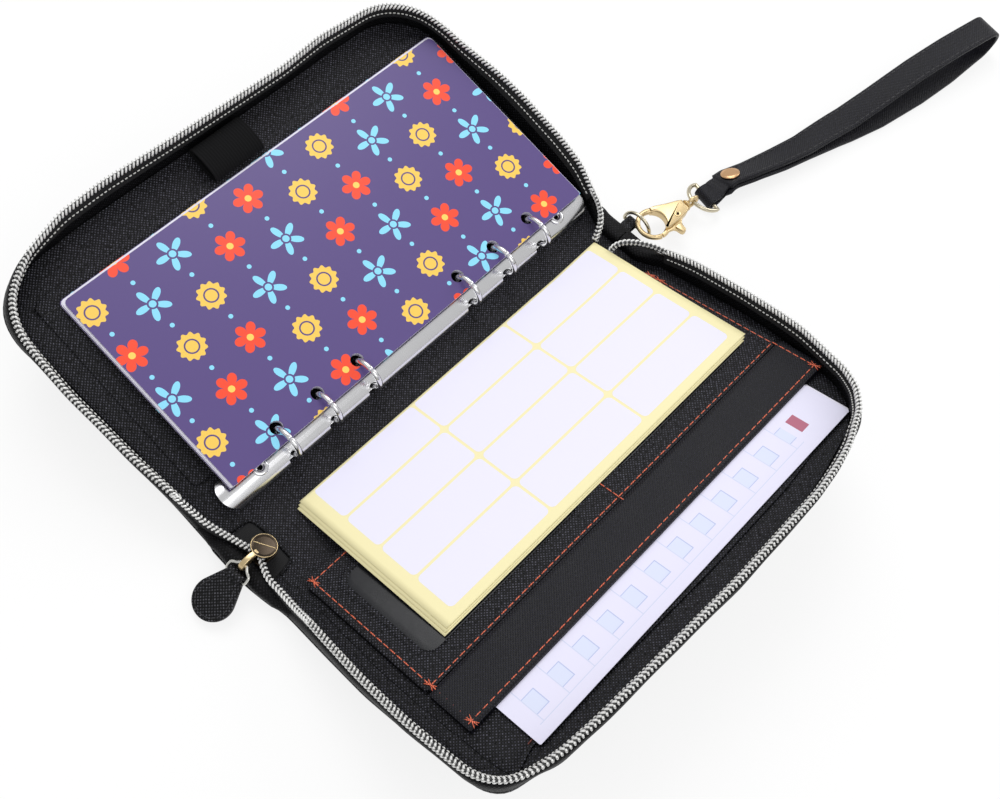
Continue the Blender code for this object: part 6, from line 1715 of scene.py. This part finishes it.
gate_outer = np.radians(np.linspace(92, 62, 10))
gate_inner = np.radians(np.linspace(38, 92, 16))
gate_outline = np.concatenate([
    np.stack([7.1 * np.cos(gate_outer), 7.1 * np.sin(gate_outer)], axis=-1),
    np.array([
        (5.4, 6.6), (6.7, 8.2), (7.2, 9.35), (7.9, 9.9), (8.9, 9.75), (9.5, 9.0), (9.6, 7.6), (10.3, 5.6),
        (11.5, 4.2), (12.2, 2.2), (11.5, 0.6), (9.8, 0.5), (8.6, 1.6), (6.2, 3.0),
    ]),
    np.stack([5.4 * np.cos(gate_inner), 5.4 * np.sin(gate_inner)], axis=-1),
]) * MM
gate = surface(
    "clasp_gate", plate(gate_outline, 0.62 * MM, 0.25 * MM, on_clasp, 3), pale_gold, wrap=True, caps=True
)
thumb_outline = np.array([
    (6.3, 6.2), (6.7, 8.0), (7.1, 9.2), (7.8, 9.85), (8.8, 9.75), (9.45, 9.0), (9.5, 7.6), (9.7, 6.0),
    (8.0, 5.5),
]) * MM
thumb = surface(
    "clasp_thumb", plate(thumb_outline, 1.35 * MM, 0.45 * MM, on_clasp), pale_gold, wrap=True, caps=True
)
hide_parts("clasp_trigger")
for piece in (gate, thumb):
    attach(piece, "trigger")

# Swivel. A turned post with a ridged collar spins in the clasp's tail and ends in a round eye.
SWIVEL_PROFILE = np.array([
    (0.1, 13.2), (1.15, 13.2), (1.15, 16.5), (1.9, 16.55), (2.35, 16.85), (2.35, 17.25), (1.85, 17.5),
    (1.6, 17.65), (1.85, 17.8), (1.95, 18.0), (1.6, 18.25), (1.0, 18.4), (0.1, 18.45),
]) * MM
collar = surface(
    "swivel_collar", turned(SWIVEL_PROFILE, EYE_PLACE, ALONG, 36), pale_gold, wrap=True, caps=True
)
turn = np.linspace(0, 2 * math.pi, 48, endpoint=False)
eye_path = on_clasp(20.4 * MM + 2.6 * MM * np.cos(turn), 0.0, 2.6 * MM * np.sin(turn))
eye = surface(
    "swivel_eye", sweep(eye_path, circle(0.72 * MM, 14), ACROSS, closed=True), pale_gold, wrap=True,
    closed=True
)
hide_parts("clasp_swivel")
for piece in (collar, eye):
    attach(piece, "swivel")

# Strap ring. A D-ring of the same plated wire: its bow hangs in the swivel's eye, its bar in the strap.
RING_APEX_T = 20.9
RING_LENGTH = 9.0
RING_HALF = 7.2
RING_SIDE = 0.8
RING_DROP = 3.4
ring_along = math.sqrt(RING_LENGTH**2 - RING_DROP**2)
turn = np.linspace(0, math.pi, 44)
share = (RING_LENGTH - RING_SIDE) * (1 - np.sin(turn)) / RING_LENGTH
bow = np.stack([RING_APEX_T + share * ring_along, RING_HALF * np.cos(turn), -share * RING_DROP], axis=-1)
bar = np.stack([
    np.full(16, RING_APEX_T + ring_along), np.linspace(-RING_HALF, RING_HALF, 16), np.full(16, -RING_DROP)
], axis=-1)
d_path = np.concatenate([bow, bar]) * MM
d_ring = surface(
    "strap_d_ring",
    sweep(
        on_clasp(*d_path.T), circle(0.85 * MM, 16), RING_DROP * ALONG + np.array((0, 0, ring_along)),
        closed=True
    ),
    silver_gold, wrap=True, closed=True,
)
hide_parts("strap_ring")
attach(d_ring, "strap_ring")

# Wrist strap. One band of fine cross-grain leather with turned edges, sewn along both sides in black: narrow
# where it is folded round the D-ring, then full width, looped, and held by a copper-gold rivet.
STRAP_BAR_T = (RING_APEX_T + ring_along) * MM
STRAP_BAR_Z = 3.2 * MM
STRAP_LENGTH = 164.5 * MM
STRAP_THICKNESS = 1.8 * MM
STRAP_HALF = 5.9 * MM
CONNECTOR_HALF = 4.5 * MM
LOOP_RADIUS = 6.3 * MM
STACK_END = 19.0 * MM
FOLD_RADIUS = 1.25 * MM + STRAP_THICKNESS / 2
STEP_PLACE = 8.2 * MM


# The sway and the roll were read on the photo and placed by a measuring script, then rounded.
SWAY_PLACES = np.array((0, 13, 22, 37, 50, 68, 92, 116, 136, 151, 164)) * MM
SWAY_UPPER = np.array((0, -0.7, 0.8, 2.2, 3.2, 2.5, 1.9, 0.9, 0.7, 0.9, 1.0)) * MM
SWAY_LOWER = np.array((0, -0.7, 0.8, 2.4, 3.0, 4.0, 6.1, 6.0, 4.6, 2.6, 1.0)) * MM
ROLL_PLACES = np.array((0, 3, 10, 24, 37, 50, 75)) * MM
ROLL_ANGLES = np.radians((0, 0, 28, 27, 20, 14, 0))


def on_strap(t, z, upper=1.0):
    """A point of the strap's middle line in the row frame, from its place t along and its height z, and the
    direction across the strap there. The band sways sideways, its upper strand unlike its lower one, and is
    rolled about its length near the rivet."""
    t, z, upper = np.broadcast_arrays(t, z, upper)
    roll = np.interp(t, ROLL_PLACES, ROLL_ANGLES)
    sway = np.interp(t, SWAY_PLACES, SWAY_LOWER)
    sway = sway + (np.interp(t, SWAY_PLACES, SWAY_UPPER) - sway) * upper
    base = STRAP_BAR_Z - FOLD_RADIUS
    n = sway - (z - base) * np.sin(roll)
    lifted = base + (z - base) * np.cos(roll) + STRAP_HALF * np.sin(roll)
    start = EYE_PLACE * (1, 1, 0) + ALONG * STRAP_BAR_T
    points = start + t[..., None] * ALONG + n[..., None] * ACROSS + lifted[..., None] * np.array((0, 0, 1.0))
    return points, np.cos(roll)[..., None] * ACROSS + np.sin(roll)[..., None] * np.array((0, 0, 1.0))


strap_floor = STRAP_BAR_Z - FOLD_RADIUS
stacked = strap_floor + STRAP_THICKNESS + 0.3 * MM
strap_top = strap_floor + 2 * LOOP_RADIUS
turn_at = STRAP_LENGTH - LOOP_RADIUS
under = np.stack([np.linspace(0.0, turn_at, 90), np.full(90, strap_floor)], axis=-1)
turn = np.linspace(-math.pi / 2, math.pi / 2, 26)[1:]
far_loop = np.stack(
    [turn_at + LOOP_RADIUS * np.cos(turn), strap_floor + LOOP_RADIUS * (1 + np.sin(turn))], axis=-1
)
share = np.linspace(0, 1, 80)[1:]
over = np.stack([
    turn_at + (STACK_END - turn_at) * share,
    stacked + (strap_top - stacked) * (1 + np.cos(math.pi * share)) / 2
], axis=-1)
share = np.linspace(0, 1, 24)[1:]
home = np.stack([
    STACK_END * (1 - share), stacked + (STRAP_BAR_Z + FOLD_RADIUS - stacked) * ease((share - 0.45) / 0.55)
], axis=-1)
turn = np.linspace(math.pi / 2, math.pi * 1.5, 22)[1:-1]
fold = np.stack([FOLD_RADIUS * np.cos(turn), STRAP_BAR_Z + FOLD_RADIUS * np.sin(turn)], axis=-1)
strap_line = np.concatenate([under, far_loop, over, home, fold])
is_upper = np.concatenate([
    np.zeros(len(under)), ease(np.linspace(0, 1, len(far_loop))), np.ones(len(over) + len(home) + len(fold))
])
strap_path, strap_across = on_strap(strap_line[:, 0], strap_line[:, 1], is_upper)
wide = CONNECTOR_HALF + (STRAP_HALF - CONNECTOR_HALF) * ease((strap_line[:, 0] - STEP_PLACE) / (0.5 * MM))
thin = 0.7 + 0.3 * ease((strap_line[:, 0] - STEP_PLACE) / (0.5 * MM))
flat_outline = band_outline(STRAP_HALF, STRAP_THICKNESS / 2, 0.6 * MM)
band = flat_outline[None] * np.stack([wide / STRAP_HALF, thin], axis=-1)[:, None, :]
strap = surface(
    "strap_band", sweep(strap_path, band, strap_across, closed=True), band_leather, wrap=True, closed=True
)
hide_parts("strap_loop")
upper = np.concatenate([over, home[:14]])[2:]
step_along = np.concatenate([[0], np.linalg.norm(np.diff(upper, axis=0), axis=1).cumsum()])
grad = np.gradient(upper, axis=0)
grad /= np.linalg.norm(grad, axis=1, keepdims=True)
raised = upper + np.stack([grad[:, 1], -grad[:, 0]], axis=-1) * (STRAP_THICKNESS / 2 + 0.02 * MM)
begin = np.arange(0, step_along[-1] - 3 * MM, 3.0 * MM)
rows_low, rows_high = [], []
for n_side in (-1, 1):
    for at, rows in ((begin, rows_low), (begin + 2.2 * MM, rows_high)):
        middle, across = on_strap(*(np.interp(at, step_along, raised[:, k]) for k in range(2)))
        rows.append(middle + across * n_side * (STRAP_HALF - 1.3 * MM))
strap_seam = stitches(
    "strap_stitches", np.concatenate(rows_low), np.concatenate(rows_high), (0, 0, 1.0), 0.22 * MM,
    black_thread
)
for piece in (strap, strap_seam):
    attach(piece, "strap")

copper_gold = metal("copper-gold plating", "#D9AE82", 0.3, 0.08)
RIVET_T = 13.5 * MM
CAP_PROFILE = np.array([
    (0.1, 0.85), (2.6, 0.82), (3.1, 0.78), (3.35, 0.62), (3.6, 0.66), (3.85, 0.5), (3.95, 0.2),
    (3.85, 0.0), (1.3, 0.0), (1.3, -4.2), (0.1, -4.2),
]) * MM
cap_base, cap_across = on_strap(RIVET_T, 4.35 * MM)
cap = surface(
    "strap_rivet_cap", turned(CAP_PROFILE, cap_base, np.cross(cap_across, ALONG)), copper_gold, wrap=True,
    caps=True
)
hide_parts("strap_rivet")
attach(cap, "strap")
